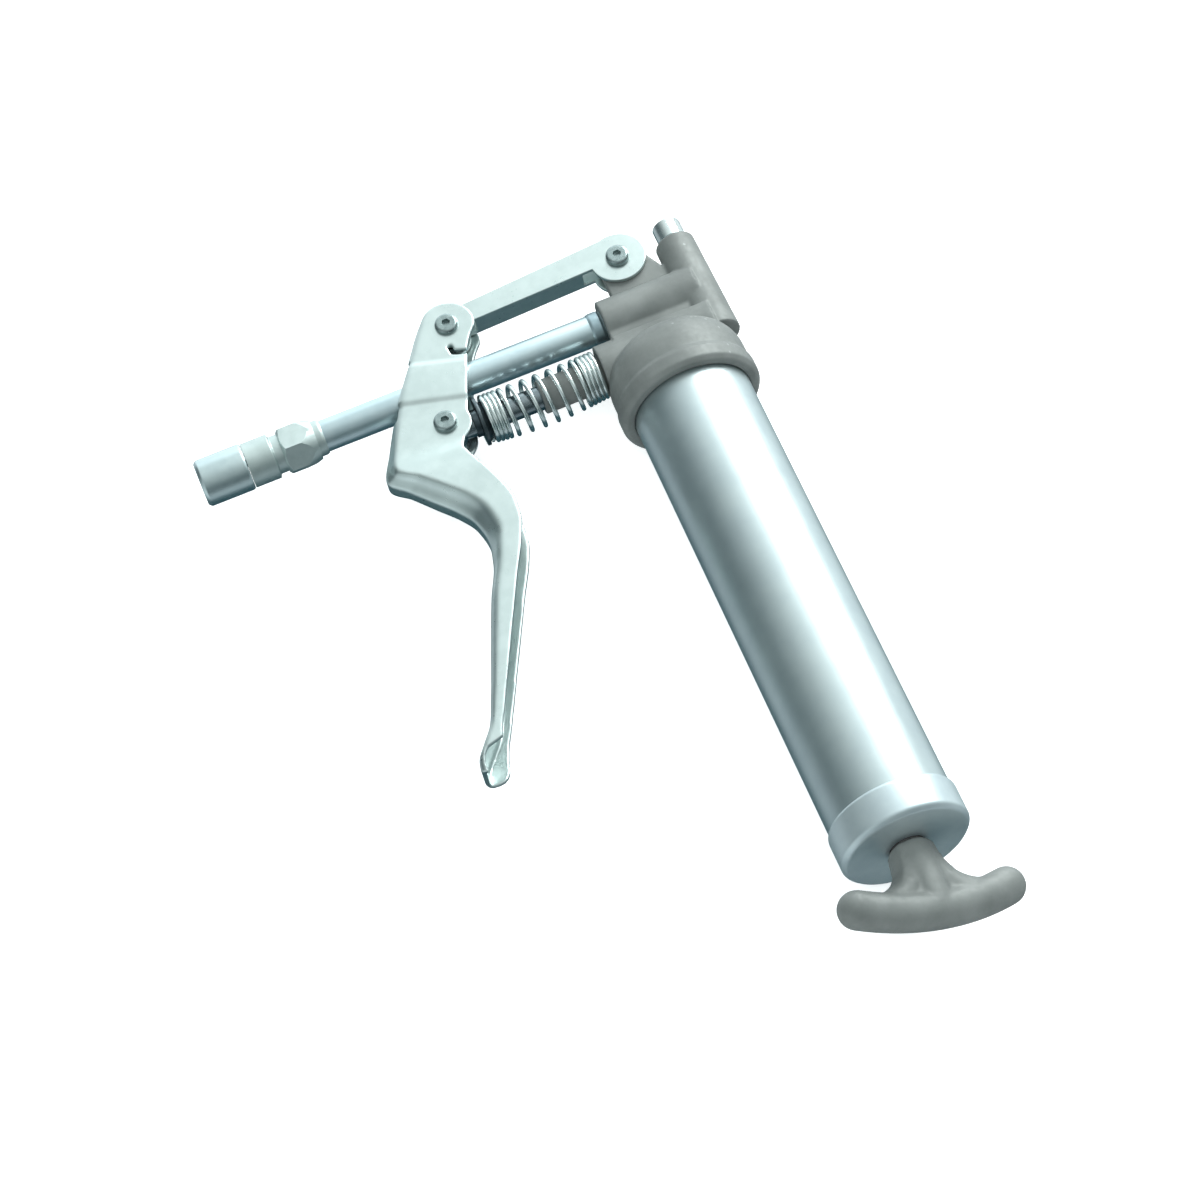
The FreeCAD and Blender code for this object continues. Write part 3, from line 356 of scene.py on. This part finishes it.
def softened(piece, voxel, rounds):
    """Rounds every edge the way a casting or a pressing has it: remesh, then smooth."""
    remesh = piece.modifiers.new("skin", "REMESH")
    remesh.mode = "VOXEL"
    remesh.voxel_size = voxel * MM
    remesh.use_smooth_shade = True
    smooth = piece.modifiers.new("soft", "SMOOTH")
    smooth.factor = 0.5
    smooth.iterations = rounds


def dressed(node, material, bevel=0.2):
    """A CAD node kept as it is, with its edges broken and a material of its own."""
    piece = frame["nodes"][node]
    piece.data.materials.clear()
    piece.data.materials.append(MATERIALS[material])
    weld = piece.modifiers.new("weld", "WELD")
    weld.merge_threshold = 1e-6
    if bevel:
        edge = piece.modifiers.new("edge", "BEVEL")
        edge.width = bevel * MM
        edge.segments = 2
        edge.limit_method = "ANGLE"
        edge.angle_limit = math.radians(32)
        edge.harden_normals = False
        piece.modifiers.new("normals", "WEIGHTED_NORMAL")
    shaded_smooth(piece.data)


def cast_piece(node, voxel, rounds):
    """A CAD node of the casting, kept in its place, with its edges rounded by modifiers."""
    piece = frame["nodes"][node]
    piece.data.materials.clear()
    piece.data.materials.append(MATERIALS["cast"])
    softened(piece, voxel, rounds)


# ---------------------------------------------------------------- lever

# Stations of the pressed channel, from the fork to the tip, in millimetres of the gun's frame:
# web side (x, y), open side (x, y), half width over the cheeks, bend radius of the web, and the
# depth of the valley that is pressed into that bend.
LEVER_STATIONS = [
    ((-61.5, 33.8), (-43.0, 28.0), 6.0, 2.6, 0.0),
    ((-76.5, 10.0), (-54.7, 2.9), 6.2, 2.7, 0.0),
    ((-77.3, 8.7), (-55.4, 1.6), 6.55, 2.8, 0.0),
    ((-84.5, -2.9), (-58.2, -10.7), 6.95, 2.9, 0.0),
    ((-85.2, -4.1), (-58.8, -12.0), 6.3, 3.0, 0.0),
    ((-92.4, -18.0), (-61.0, -24.5), 6.5, 3.6, 0.5),
    ((-96.4, -26.8), (-70.3, -27.0), 7.2, 5.2, 1.1),
    ((-91.3, -32.6), (-68.4, -32.8), 7.8, 6.4, 1.5),
    ((-85.5, -39.6), (-66.2, -38.4), 8.2, 6.6, 1.6),
    ((-79.9, -46.4), (-63.9, -44.6), 8.3, 6.6, 1.5),
    ((-76.3, -52.8), (-62.4, -51.8), 8.3, 6.4, 1.1),
    ((-75.0, -60.5), (-62.8, -58.6), 8.3, 6.2, 0.6),
    ((-76.4, -69.3), (-65.2, -66.0), 8.3, 4.8, 0.3),
    ((-81.4, -81.6), (-71.3, -78.6), 8.2, 4.4, 0.0),
    ((-87.3, -97.6), (-78.9, -94.8), 8.0, 4.0, 0.0),
    ((-93.0, -113.3), (-86.4, -110.8), 7.7, 3.4, 0.0),
    ((-96.6, -122.2), (-90.6, -119.8), 7.4, 3.0, 0.0),
    ((-100.4, -127.4), (-93.2, -125.2), 7.2, 2.8, 0.0),
    ((-103.4, -131.8), (-95.0, -130.6), 6.7, 2.6, 0.0),
    ((-104.2, -136.6), (-96.0, -136.2), 5.6, 2.2, 0.0),
]
LEVER_SHEET = 1.6
# A small lanced slit at the edge of the upper cheek, and the part of the upper cheek that is
# left off at the tip, so that the tip is an open spoon.
LANCE = [
    (-62.6, 10.6), (-61.2, 10.9), (-60.9, 8.4), (-59.2, 7.7), (-55.0, 6.3), (-55.5, 4.9), (-60.0, 6.2),
    (-62.2, 7.2),
]
SPOON = [
    (-99.4, -129.2), (-94.0, -127.6), (-86.0, -125.2), (-85, -145), (-101.0, -145), (-101.9, -138),
    (-101.7, -133.5), (-100.9, -131.0),
]
RING_STEP = 0.8
CHEEK_STEPS = 12
BEND_STEPS = 16
FORK_LOBE = 8.8
FOOT_LOBE = 8.2
PIVOT_HOLE = 2.6


def monotone(knots, values):
    """A smooth curve through the values that never overshoots between two of them."""
    steps = [knots[i + 1] - knots[i] for i in range(len(knots) - 1)]
    rises = [(values[i + 1] - values[i]) / steps[i] for i in range(len(steps))]
    slopes = [rises[0]]
    for before, after in zip(rises, rises[1:]):
        slopes.append(0.0 if before * after <= 0 else 2 * before * after / (before + after))
    slopes.append(rises[-1])

    def at(where):
        i = max(k for k in range(len(steps)) if knots[k] <= where or k == 0)
        t = (where - knots[i]) / steps[i]
        first = (1 + 2 * t) * (1 - t) ** 2 * values[i] + t * (1 - t) ** 2 * steps[i] * slopes[i]
        return first + t ** 2 * (3 - 2 * t) * values[i + 1] + t ** 2 * (t - 1) * steps[i] * slopes[i + 1]

    return at


def channel_ring(depth, half, bend, valley):
    """Section of the channel, (depth from the web, across), outside then inside."""
    inner_bend = max(bend - LEVER_SHEET, 0.35)
    inner_half = half - LEVER_SHEET
    outer = [(depth - (depth - bend) * i / CHEEK_STEPS, half) for i in range(CHEEK_STEPS)]
    for step in range(BEND_STEPS + 1):
        angle = math.radians(90 - 90 * step / BEND_STEPS)
        reach = bend - valley * math.sin(2 * angle) ** 2
        outer.append((bend - reach * math.cos(angle), half - bend + reach * math.sin(angle)))
    inner = [(max(down, LEVER_SHEET + inner_bend), inner_half) for down, _ in outer[:CHEEK_STEPS]]
    for step in range(BEND_STEPS + 1):
        angle = math.radians(90 - 90 * step / BEND_STEPS)
        reach = inner_bend - valley * math.sin(2 * angle) ** 2
        inner.append((LEVER_SHEET + inner_bend - reach * math.cos(angle),
                      inner_half - inner_bend + reach * math.sin(angle)))
    whole_outer = outer + [(u, -v) for u, v in reversed(outer)]
    whole_inner = inner + [(u, -v) for u, v in reversed(inner)]
    return whole_outer + list(reversed(whole_inner))


def lever_channel():
    """The lofted channel before it is trimmed to its side view."""
    webs = [Vector(station[0]) for station in LEVER_STATIONS]
    knots = [0.0]
    for before, after in zip(webs, webs[1:]):
        knots.append(knots[-1] + (after - before).length)
    rows = [(*web, *open_side, *sizes) for web, open_side, *sizes in LEVER_STATIONS]
    curves = [monotone(knots, column) for column in zip(*rows)]
    rings = int(knots[-1] / RING_STEP)
    points = []
    faces = []
    for i in range(rings + 1):
        web_x, web_y, open_x, open_y, half, bend, valley = [curve(knots[-1] * i / rings) for curve in curves]
        web = Vector((web_x, web_y, 0))
        across = Vector((open_x, open_y, 0)) - web
        depth = across.length
        across.normalize()
        ring = channel_ring(depth, half, bend, valley)
        points += [gun_point(*(web + across * u + Vector((0, 0, v)))) for u, v in ring]
    count = len(ring)
    for i in range(rings):
        for k in range(count):
            j = (k + 1) % count
            faces.append((i * count + k, (i + 1) * count + k, (i + 1) * count + j, i * count + j))
    faces.append(tuple(range(count)))
    faces.append(tuple(reversed(range(rings * count, (rings + 1) * count))))
    mesh = bpy.data.meshes.new("lever_channel")
    mesh.from_pydata(points, [], faces)
    mesh.update()
    return mesh


def prism(name, outline, low, high):
    """A closed block over an outline given in row-frame metres, between two heights."""
    mesh = bpy.data.meshes.new(name)
    count = len(outline)
    turning = sum(before.x * after.y - before.y * after.x for before, after in
                  zip(outline, outline[1:] + outline[:1]))
    if turning < 0:
        outline = list(reversed(outline))
    points = [Vector((p.x, p.y, z)) for z in (low, high) for p in outline]
    faces = [tuple(reversed(range(count))), tuple(range(count, 2 * count))]
    faces += [(i, (i + 1) % count, count + (i + 1) % count, count + i) for i in range(count)]
    mesh.from_pydata(points, [], faces)
    mesh.update()
    piece = bpy.data.objects.new(name, mesh)
    bpy.context.scene.collection.objects.link(piece)
    return piece


def arc(centre, radius, start, end, steps=24):
    """Points of a circle in the lever's plane, angles in degrees, radius in mm."""
    result = []
    for i in range(steps + 1):
        angle = math.radians(start + (end - start) * i / steps)
        result.append(centre + Vector((math.cos(angle), math.sin(angle), 0)) * radius * MM)
    return result


def bezier(start, handle, end, steps=8):
    """Points of a curve from start to end that leaves and arrives towards its handle."""
    shares = [i / steps for i in range(steps + 1)]
    return [start * (1 - t) ** 2 + handle * 2 * t * (1 - t) + end * t ** 2 for t in shares]


def lever_side_view():
    """Outline of the cheeks: two pivot lobes with a waist between, and all of the handle."""
    fork = arc(FORK_PIVOT, FORK_LOBE, 146, -22, 40)
    foot = arc(PLUNGER_EYE, FOOT_LOBE, 12, -62, 24)
    waist = bezier(fork[-1], gun_point(-54.4, 12.2), gun_point(-56.6, 8.0))
    tip = bezier(gun_point(-95.2, -131.0), gun_point(-96.0, -136.4), gun_point(-100.0, -136.4))
    tip += bezier(gun_point(-100.0, -136.4), gun_point(-105.2, -136.4), gun_point(-105.2, -131.0))[1:]
    near = [gun_point(-70.0, -26.5), gun_point(-50, -30), gun_point(-50, -131)]
    far = [gun_point(-125, -131), gun_point(-125, -10), gun_point(-80, 8)]
    return fork + waist[1:] + foot + near + tip + far


def carve(piece, tool, operation="DIFFERENCE"):
    """Boolean with a helper solid, which is then removed."""
    step = piece.modifiers.new("carve", "BOOLEAN")
    step.operation = operation
    step.solver = "EXACT"
    step.object = tool
    baked(piece)
    bpy.data.objects.remove(tool)


def round_tool(name, centre, radius, half_height, segments=48):
    outline = arc(centre, radius, 0, 360 - 360 / segments, segments - 1)
    return prism(name, outline, GUN.z - half_height * MM, GUN.z + half_height * MM)


def build_lever():
    """The pressed, zinc-plated lever: the channel, trimmed, slotted, pierced and then rounded."""
    piece = new_piece("lever_pressing", lever_channel(), "plate", "lever", ("lever",))
    high = 20 * MM
    carve(piece, prism("side_view", lever_side_view(), GUN.z - high, GUN.z + high), "INTERSECT")
    slot_low, slot_high = gun_point(-94, -8.7, -5.4), gun_point(-72, 10.5, 5.4)
    slot = [slot_low, Vector((slot_high.x, slot_low.y, 0)), slot_high, Vector((slot_low.x, slot_high.y, 0))]
    carve(piece, prism("tube_slot", slot, slot_low.z, slot_high.z))
    for pivot in (FORK_PIVOT, PLUNGER_EYE):
        carve(piece, round_tool("pivot_hole", pivot, PIVOT_HOLE, 12))
    lance = [gun_point(x, y) for x, y in LANCE]
    carve(piece, prism("lance", lance, GUN.z + 3 * MM, GUN.z + 9 * MM))
    spoon = [gun_point(x, y) for x, y in SPOON]
    carve(piece, prism("spoon", spoon, GUN.z + 1.5 * MM, GUN.z + 9 * MM))
    softened(piece, 0.34, 9)
    shaded_smooth(baked(piece))


# ---------------------------------------------------------------- springs

def coil_path(start, axis, length, radius, pitches, swell, sag, per_turn=36):
    """Centre line of a coil whose pitch changes from turn to turn, fuller and lower in the middle."""
    side = axis.orthogonal().normalized()
    other = axis.cross(side)
    total = sum(pitches)
    path = []
    along = 0.0
    for pitch in pitches:
        for step in range(per_turn):
            angle = 2 * math.pi * step / per_turn
            share = (along + pitch * step / per_turn) / total
            belly = math.sin(math.pi * share)
            spot = start + axis * length * share - Vector((0, sag * belly, 0))
            path.append(spot + (side * math.cos(angle) + other * math.sin(angle)) * (radius + swell * belly))
        along += pitch
    return path


def squashed_spring(node):
    """An inner spring with its CAD shape, carried rigidly on the frame in place of its CAD node."""
    piece = new_piece(node + "_coil", frame["nodes"][node].data.copy(), "bright", "frame", (node,))
    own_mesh(piece)


def build_return_spring():
    """Compression spring with closed end coils, between the head and its seat."""
    low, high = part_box("return_spring")
    wire = 0.72 * MM
    swell, sag = 0.5 * MM, 0.9 * MM
    radius = (high.y - low.y) / 2 - wire
    pitches = [1.47] * 4 + [2.6] + [4.5] * 5 + [2.6] + [1.47] * 4
    start = Vector((high.x - wire, (low.y + high.y) / 2, GUN.z))
    path = coil_path(start, Vector((-1, 0, 0)), high.x - low.x - 2 * wire, radius, pitches, swell, sag)
    mesh = tube_mesh("return_spring_coil", path, wire, 14)
    piece = new_piece("return_spring_coil", mesh, "bright", "frame", ("return_spring",))
    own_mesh(piece)


# ---------------------------------------------------------------- barrel and cap

def build_barrel():
    """Drawn barrel tube and the pressed cap over its end."""
    low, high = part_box("barrel_tube")
    radius = (high.x - low.x) / 2 / MM
    bore = radius - 1.2
    top = (GUN.y - high.y) / MM
    end = (GUN.y - low.y) / MM
    turned("barrel_shell", "barrel_tube", "frame", "barrel",
           [(top, bore), (end, bore), (end, radius), (top, radius)], (0, -1, 0), 0.2)
    low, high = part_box("end_cap")
    cap = (high.x - low.x) / 2 / MM
    skirt = (GUN.y - high.y) / MM
    face = (GUN.y - low.y) / MM
    floor = face - 3.3
    bush_hole = 5.3
    turned("end_cap_pressing", "end_cap", "frame", "cap", [
        (skirt, radius + 0.05), (skirt, cap - 0.4), (skirt + 0.8, cap), (face - 1.3, cap), (face, cap - 1.3),
        (face, bush_hole), (floor, bush_hole), (floor, radius + 0.05),
    ], (0, -1, 0), 0.6)


def build_t_handle():
    """Die-cast T-handle: the CAD solid with full fillets between its stem and its bar."""
    solid = frame["nodes"]["t_handle"].data
    axis = Vector((GUN.x, 0, GUN.z))
    spokes = [Vector((point.co.x, 0, point.co.z)) - axis for point in solid.vertices]
    outward = max(spokes, key=lambda spoke: spoke.length).normalized()
    bar_radius, fillet_radius = 5.75, 4.9
    foot = Vector((GUN.x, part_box("t_handle")[0].y + bar_radius * MM, GUN.z))
    along = Vector((0, MM, 0))
    joined = bmesh.new()
    joined.from_mesh(solid)
    for side in (outward * MM, -outward * MM):
        on_stem = foot + side * 2.2 + along * 18.5
        corner = foot + side * 4.5 + along * 3.0
        on_bar = foot + side * 20 + along * 2.2
        fillet = tube_mesh("fillet", bezier(on_stem, corner, on_bar, 14), fillet_radius * MM, 20)
        joined.from_mesh(fillet)
        bpy.data.meshes.remove(fillet)
    mesh = bpy.data.meshes.new("t_handle_casting")
    joined.to_mesh(mesh)
    joined.free()
    piece = new_piece("t_handle_casting", mesh, "cast", "rod", ("t_handle",))
    softened(piece, 0.5, 16)
    shaded_smooth(baked(piece))


# ---------------------------------------------------------------- nozzle and coupler

def build_nozzle():
    """Rigid nozzle pipe and the ring that locks it in the head."""
    low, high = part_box("nozzle_tube")
    radius = (high.y - low.y) / 2 / MM
    inner = (GUN.x - high.x) / MM
    outer = (GUN.x - low.x) / MM
    turned("nozzle_pipe", "nozzle_tube", "frame", "tube",
           [(inner, 2.2), (outer, 2.2), (outer, radius), (inner, radius)], (-1, 0, 0), 0.3)
    low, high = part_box("nozzle_lock_ring")
    ring = (high.y - low.y) / 2 / MM
    near = (GUN.x - high.x) / MM
    far = (GUN.x - low.x) / MM
    turned("nozzle_ring", "nozzle_lock_ring", "frame", "ring", [
        (near, radius + 0.02), (far, radius + 0.02), (far, ring - 0.3), (far - 0.8, ring), (near + 0.8, ring),
        (near, ring - 0.6),
    ], (-1, 0, 0), 0.3)


def hexagon_block(name, axis_start, flat, length):
    """A hexagon bar along -X with its corners turned off at both ends."""
    corner = flat / math.sqrt(3)
    cone = 0.55 * (corner - flat / 2)
    bar = bmesh.new()
    rings = []
    for along in (0, length):
        ring = []
        for step in range(6):
            angle = math.radians(60 * step)
            spot = Vector((-along, corner * math.cos(angle), corner * math.sin(angle))) * MM
            ring.append(bar.verts.new(axis_start + spot))
        rings.append(ring)
    for step in range(6):
        following = (step + 1) % 6
        bar.faces.new((rings[0][step], rings[0][following], rings[1][following], rings[1][step]))
    bar.faces.new(rings[0])
    bar.faces.new(list(reversed(rings[1])))
    mesh = bpy.data.meshes.new(name)
    bmesh.ops.recalc_face_normals(bar, faces=bar.faces)
    bar.to_mesh(mesh)
    bar.free()
    block = bpy.data.objects.new(name, mesh)
    bpy.context.scene.collection.objects.link(block)
    front, rear = 1.2, 5.0
    middle_hole = 0.01
    end_radius = flat / 2 - cone
    profile = [(0, middle_hole), (length, middle_hole), (length, end_radius), (length - front, corner),
               (rear, corner), (0, end_radius)]
    profile = [(along * MM, across * MM) for along, across in profile]
    turned_off = lathe_mesh(name + "_cones", profile, axis_start, (-1, 0, 0), 96)
    cones = bpy.data.objects.new(name + "_cones", turned_off)
    bpy.context.scene.collection.objects.link(cones)
    carve(block, cones, "INTERSECT")
    return block


def build_coupler_body():
    """Hexagon with the plain ring and groove in front of it and the neck behind it."""
    sleeve_back = (GUN.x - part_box("coupler_sleeve")[1].x) / MM
    back = (GUN.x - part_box("coupler_body")[1].x) / MM
    neck, groove, ring, bore = 5.75, 6.1, 7.25, 5.2
    neck_length, across_flats, hexagon_length, ring_length = 2.6, 14.0, 11.2, 8.6
    start = axis_origin("coupler_body", (-1, 0, 0)) + Vector((-(back + neck_length) * MM, 0, 0))
    block = hexagon_block("hexagon_bar", start, across_flats, hexagon_length)
    profile = rounded([(u * MM, v * MM) for u, v in (
        (back, bore), (back, neck - 0.3), (back + 0.8, neck), (back + 3.4, neck), (back + 3.4, groove),
        (sleeve_back - ring_length - 0.4, groove), (sleeve_back - ring_length, ring),
        (sleeve_back - 0.1, ring), (sleeve_back - 0.1, bore),
    )], 0.3 * MM)
    mesh = lathe_mesh("coupler_ring", profile, axis_origin("coupler_body", (-1, 0, 0)), (-1, 0, 0))
    both = bmesh.new()
    both.from_mesh(mesh)
    both.from_mesh(block.data)
    both.to_mesh(mesh)
    both.free()
    bpy.data.objects.remove(block)
    piece = new_piece("coupler_hexagon", mesh, "knurl", "frame", ("coupler_body",))
    edge = piece.modifiers.new("edge", "BEVEL")
    edge.width = 0.18 * MM
    edge.segments = 2
    edge.limit_method = "ANGLE"
    edge.angle_limit = math.radians(20)
    piece.modifiers.new("normals", "WEIGHTED_NORMAL")


def build_coupler():
    """Coupler body and the sleeve over its jaws."""
    build_coupler_body()
    low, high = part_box("coupler_sleeve")
    radius = (high.y - low.y) / 2 / MM
    back = (GUN.x - high.x) / MM
    mouth = (GUN.x - low.x) / MM
    bore, opening = 6.0, 4.3
    turned("coupler_barrel", "coupler_sleeve", "frame", "coupler", [
        (back, bore), (back, radius - 0.35), (back + 0.7, radius), (mouth - 1.0, radius),
        (mouth, radius - 0.9), (mouth, opening), (mouth - 2.0, opening), (mouth - 5.0, bore),
    ], (-1, 0, 0), 0.35)


# ---------------------------------------------------------------- studio

# The room's light by the height of the direction (-1 straight down, 1 straight up), and the part
# that the bright side adds, by the cosine of the angle from its middle.
ROOM_HEIGHTS = [
    (-1.0, (0.02, 0.07, 0.09)),
    (-0.75, (0.03, 0.09, 0.11)),
    (-0.55, (0.46, 0.54, 0.57)),
    (-0.25, (0.42, 0.49, 0.52)),
    (0.0, (0.12, 0.15, 0.16)),
    (0.3, (0.1, 0.14, 0.15)),
    (0.85, (0.44, 0.5, 0.5)),
    (1.0, (0.58, 0.64, 0.64)),
]
KEY_DIRECTION = Vector((0.72, 0.5, 0.48)).normalized()
ROOM_KEY = [(0.15, (0.0, 0.0, 0.0)), (0.95, (0.7, 0.76, 0.76))]
# The backdrop beyond the gun's head, and a weak card on the lever's side.
BACKDROP_DIRECTION = Vector((0.05, 1.0, 0.05)).normalized()
ROOM_BACKDROP = [(0.66, (0.0, 0.0, 0.0)), (0.95, (0.9, 0.98, 1.0))]
CARD_DIRECTION = Vector((-0.84, -0.52, 0.1)).normalized()
ROOM_CARD = [(0.7, (0.0, 0.0, 0.0)), (0.97, (0.5, 0.55, 0.55))]


def build_floor():
    """Pale paper, lit a little from below as on a light table, and left out of mirror reflections."""
    bpy.ops.mesh.primitive_plane_add(size=60.0, location=(0, 0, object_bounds()[0][2] - 0.0002))
    floor = bpy.context.object
    floor.name = "studio_floor"
    floor.visible_glossy = False
    shader = Shader("studio_paper")
    fibres = shader.noise(400.0)
    shader.link(shader.ramp(fibres, [(0.3, 0.88), (0.7, 0.9)]), shader.surface.inputs["Base Color"])
    shader.surface.inputs["Roughness"].default_value = 0.9
    shader.surface.inputs["Emission Color"].default_value = (1, 1, 1, 1)
    shader.surface.inputs["Emission Strength"].default_value = 0.55
    floor.data.materials.append(shader.material)


def soft_light(name, location, target, size, power, colour):
    """A rectangular soft box, turned towards its target."""
    data = bpy.data.lights.new(name, "AREA")
    data.shape = "RECTANGLE"
    data.size, data.size_y = size
    data.energy = power
    data.color = colour
    light = bpy.data.objects.new(name, data)
    light.location = location
    light.rotation_euler = (target - light.location).to_track_quat("-Z", "Y").to_euler()
    bpy.context.scene.collection.objects.link(light)
    return light


def build_world():
    """A pale room: light overhead and behind on the right, dark along the horizon and underneath."""
    world = bpy.data.worlds.new("studio")
    bpy.context.scene.world = world
    world.use_nodes = True
    tree = world.node_tree
    place = tree.nodes.new("ShaderNodeTexCoord").outputs["Generated"]

    def lobe(axis, stops):
        dot = tree.nodes.new("ShaderNodeVectorMath")
        dot.operation = "DOT_PRODUCT"
        dot.inputs[1].default_value = axis
        tree.links.new(place, dot.inputs[0])
        span = tree.nodes.new("ShaderNodeMapRange")
        span.inputs["From Min"].default_value = -1.0
        tree.links.new(dot.outputs["Value"], span.inputs["Value"])
        ramp = tree.nodes.new("ShaderNodeValToRGB")
        ramp.color_ramp.interpolation = "EASE"
        ends = ramp.color_ramp.elements
        while len(ends) < len(stops):
            ends.new(0.5)
        for end, (height, colour) in zip(ends, stops):
            end.position = (height + 1) / 2
            end.color = (*colour, 1.0)
        tree.links.new(span.outputs["Result"], ramp.inputs["Fac"])
        return ramp.outputs["Color"]

    light = lobe((0, 0, 1), ROOM_HEIGHTS)
    for direction, stops in ((KEY_DIRECTION, ROOM_KEY), (BACKDROP_DIRECTION, ROOM_BACKDROP),
                             (CARD_DIRECTION, ROOM_CARD)):
        total = tree.nodes.new("ShaderNodeMix")
        total.data_type = "RGBA"
        total.blend_type = "ADD"
        total.inputs["Factor"].default_value = 1.0
        tree.links.new(light, total.inputs["A"])
        tree.links.new(lobe(direction, stops), total.inputs["B"])
        light = total.outputs["Result"]
    tree.links.new(light, tree.nodes["Background"].inputs["Color"])


def build_studio():
    """Pale paper, the room, one large soft light on the bright side and a weaker one in front."""
    build_floor()
    build_world()
    soft_light("key", gun_point(700, 560, 560), gun_point(0, -60), (0.7, 0.7), 12.5, (0.97, 1, 0.99))
    fill = soft_light("fill", gun_point(-200, -500, 900), gun_point(0, -60), (0.6, 0.6), 5.5, (0.95, 1, 1))
    fill.visible_glossy = False
    bpy.context.scene.view_settings.view_transform = "Standard"


def build_camera():
    """The camera stands above the T-handle's end and looks down along the barrel."""
    data = bpy.data.cameras.new("camera")
    data.sensor_width = 36.0
    data.lens = 112.85
    camera = bpy.data.objects.new("camera", data)
    camera.location = gun_point(-136.275, -677.030, 960.696)
    bpy.context.scene.collection.objects.link(camera)
    backward = Vector((-0.07557797, -0.51819817, 0.85191469))
    upward = Vector((0.36899152, 0.77917462, 0.50668746))
    rightward = upward.cross(backward)
    camera.rotation_euler = Matrix((rightward, upward, backward)).transposed().to_euler()
    bpy.context.scene.camera = camera


# ---------------------------------------------------------------- build

build_lever()
build_return_spring()
squashed_spring("follower_spring")
squashed_spring("outlet_check_spring")
build_barrel()
build_nozzle()
build_coupler()
cast_piece("head_casting", 0.36, 5)
build_t_handle()
for node, material, bevel in (
    ("link", "plate", 0.25), ("link_pivot_screw", "screw", 0.12), ("lever_pivot_screws", "screw", 0.12),
    ("link_pivot_nut", "screw", 0.2), ("lever_pivot_nuts", "screw", 0.2),
    ("coupler_jaws", "jaw", 0.1), ("coupler_seal", "rubber", 0.1), ("coupler_spring", "bright", 0),
    ("coupler_check_ball", "bright", 0), ("plunger_rod", "polished", 0.2), ("spring_seat", "dark", 0.2),
    ("plunger_packing", "rubber", 0.1), ("packing_ring", "dark", 0.1), ("barrel_gasket", "rubber", 0.1),
    ("rod_bush", "plastic", 0.2), ("follower_rod", "bright", 0.2), ("follower_piston", "plate", 0.2),
    ("follower_cup_seal", "rubber", 0.2), ("follower_washer", "plate", 0.1), ("rod_nut", "screw", 0.2),
    ("outlet_check_ball", "bright", 0),
    ("bleed_screw", "bright", 0.2), ("bleed_washer", "screw", 0.1),
):
    dressed(node, material, bevel)
build_studio()
build_camera()
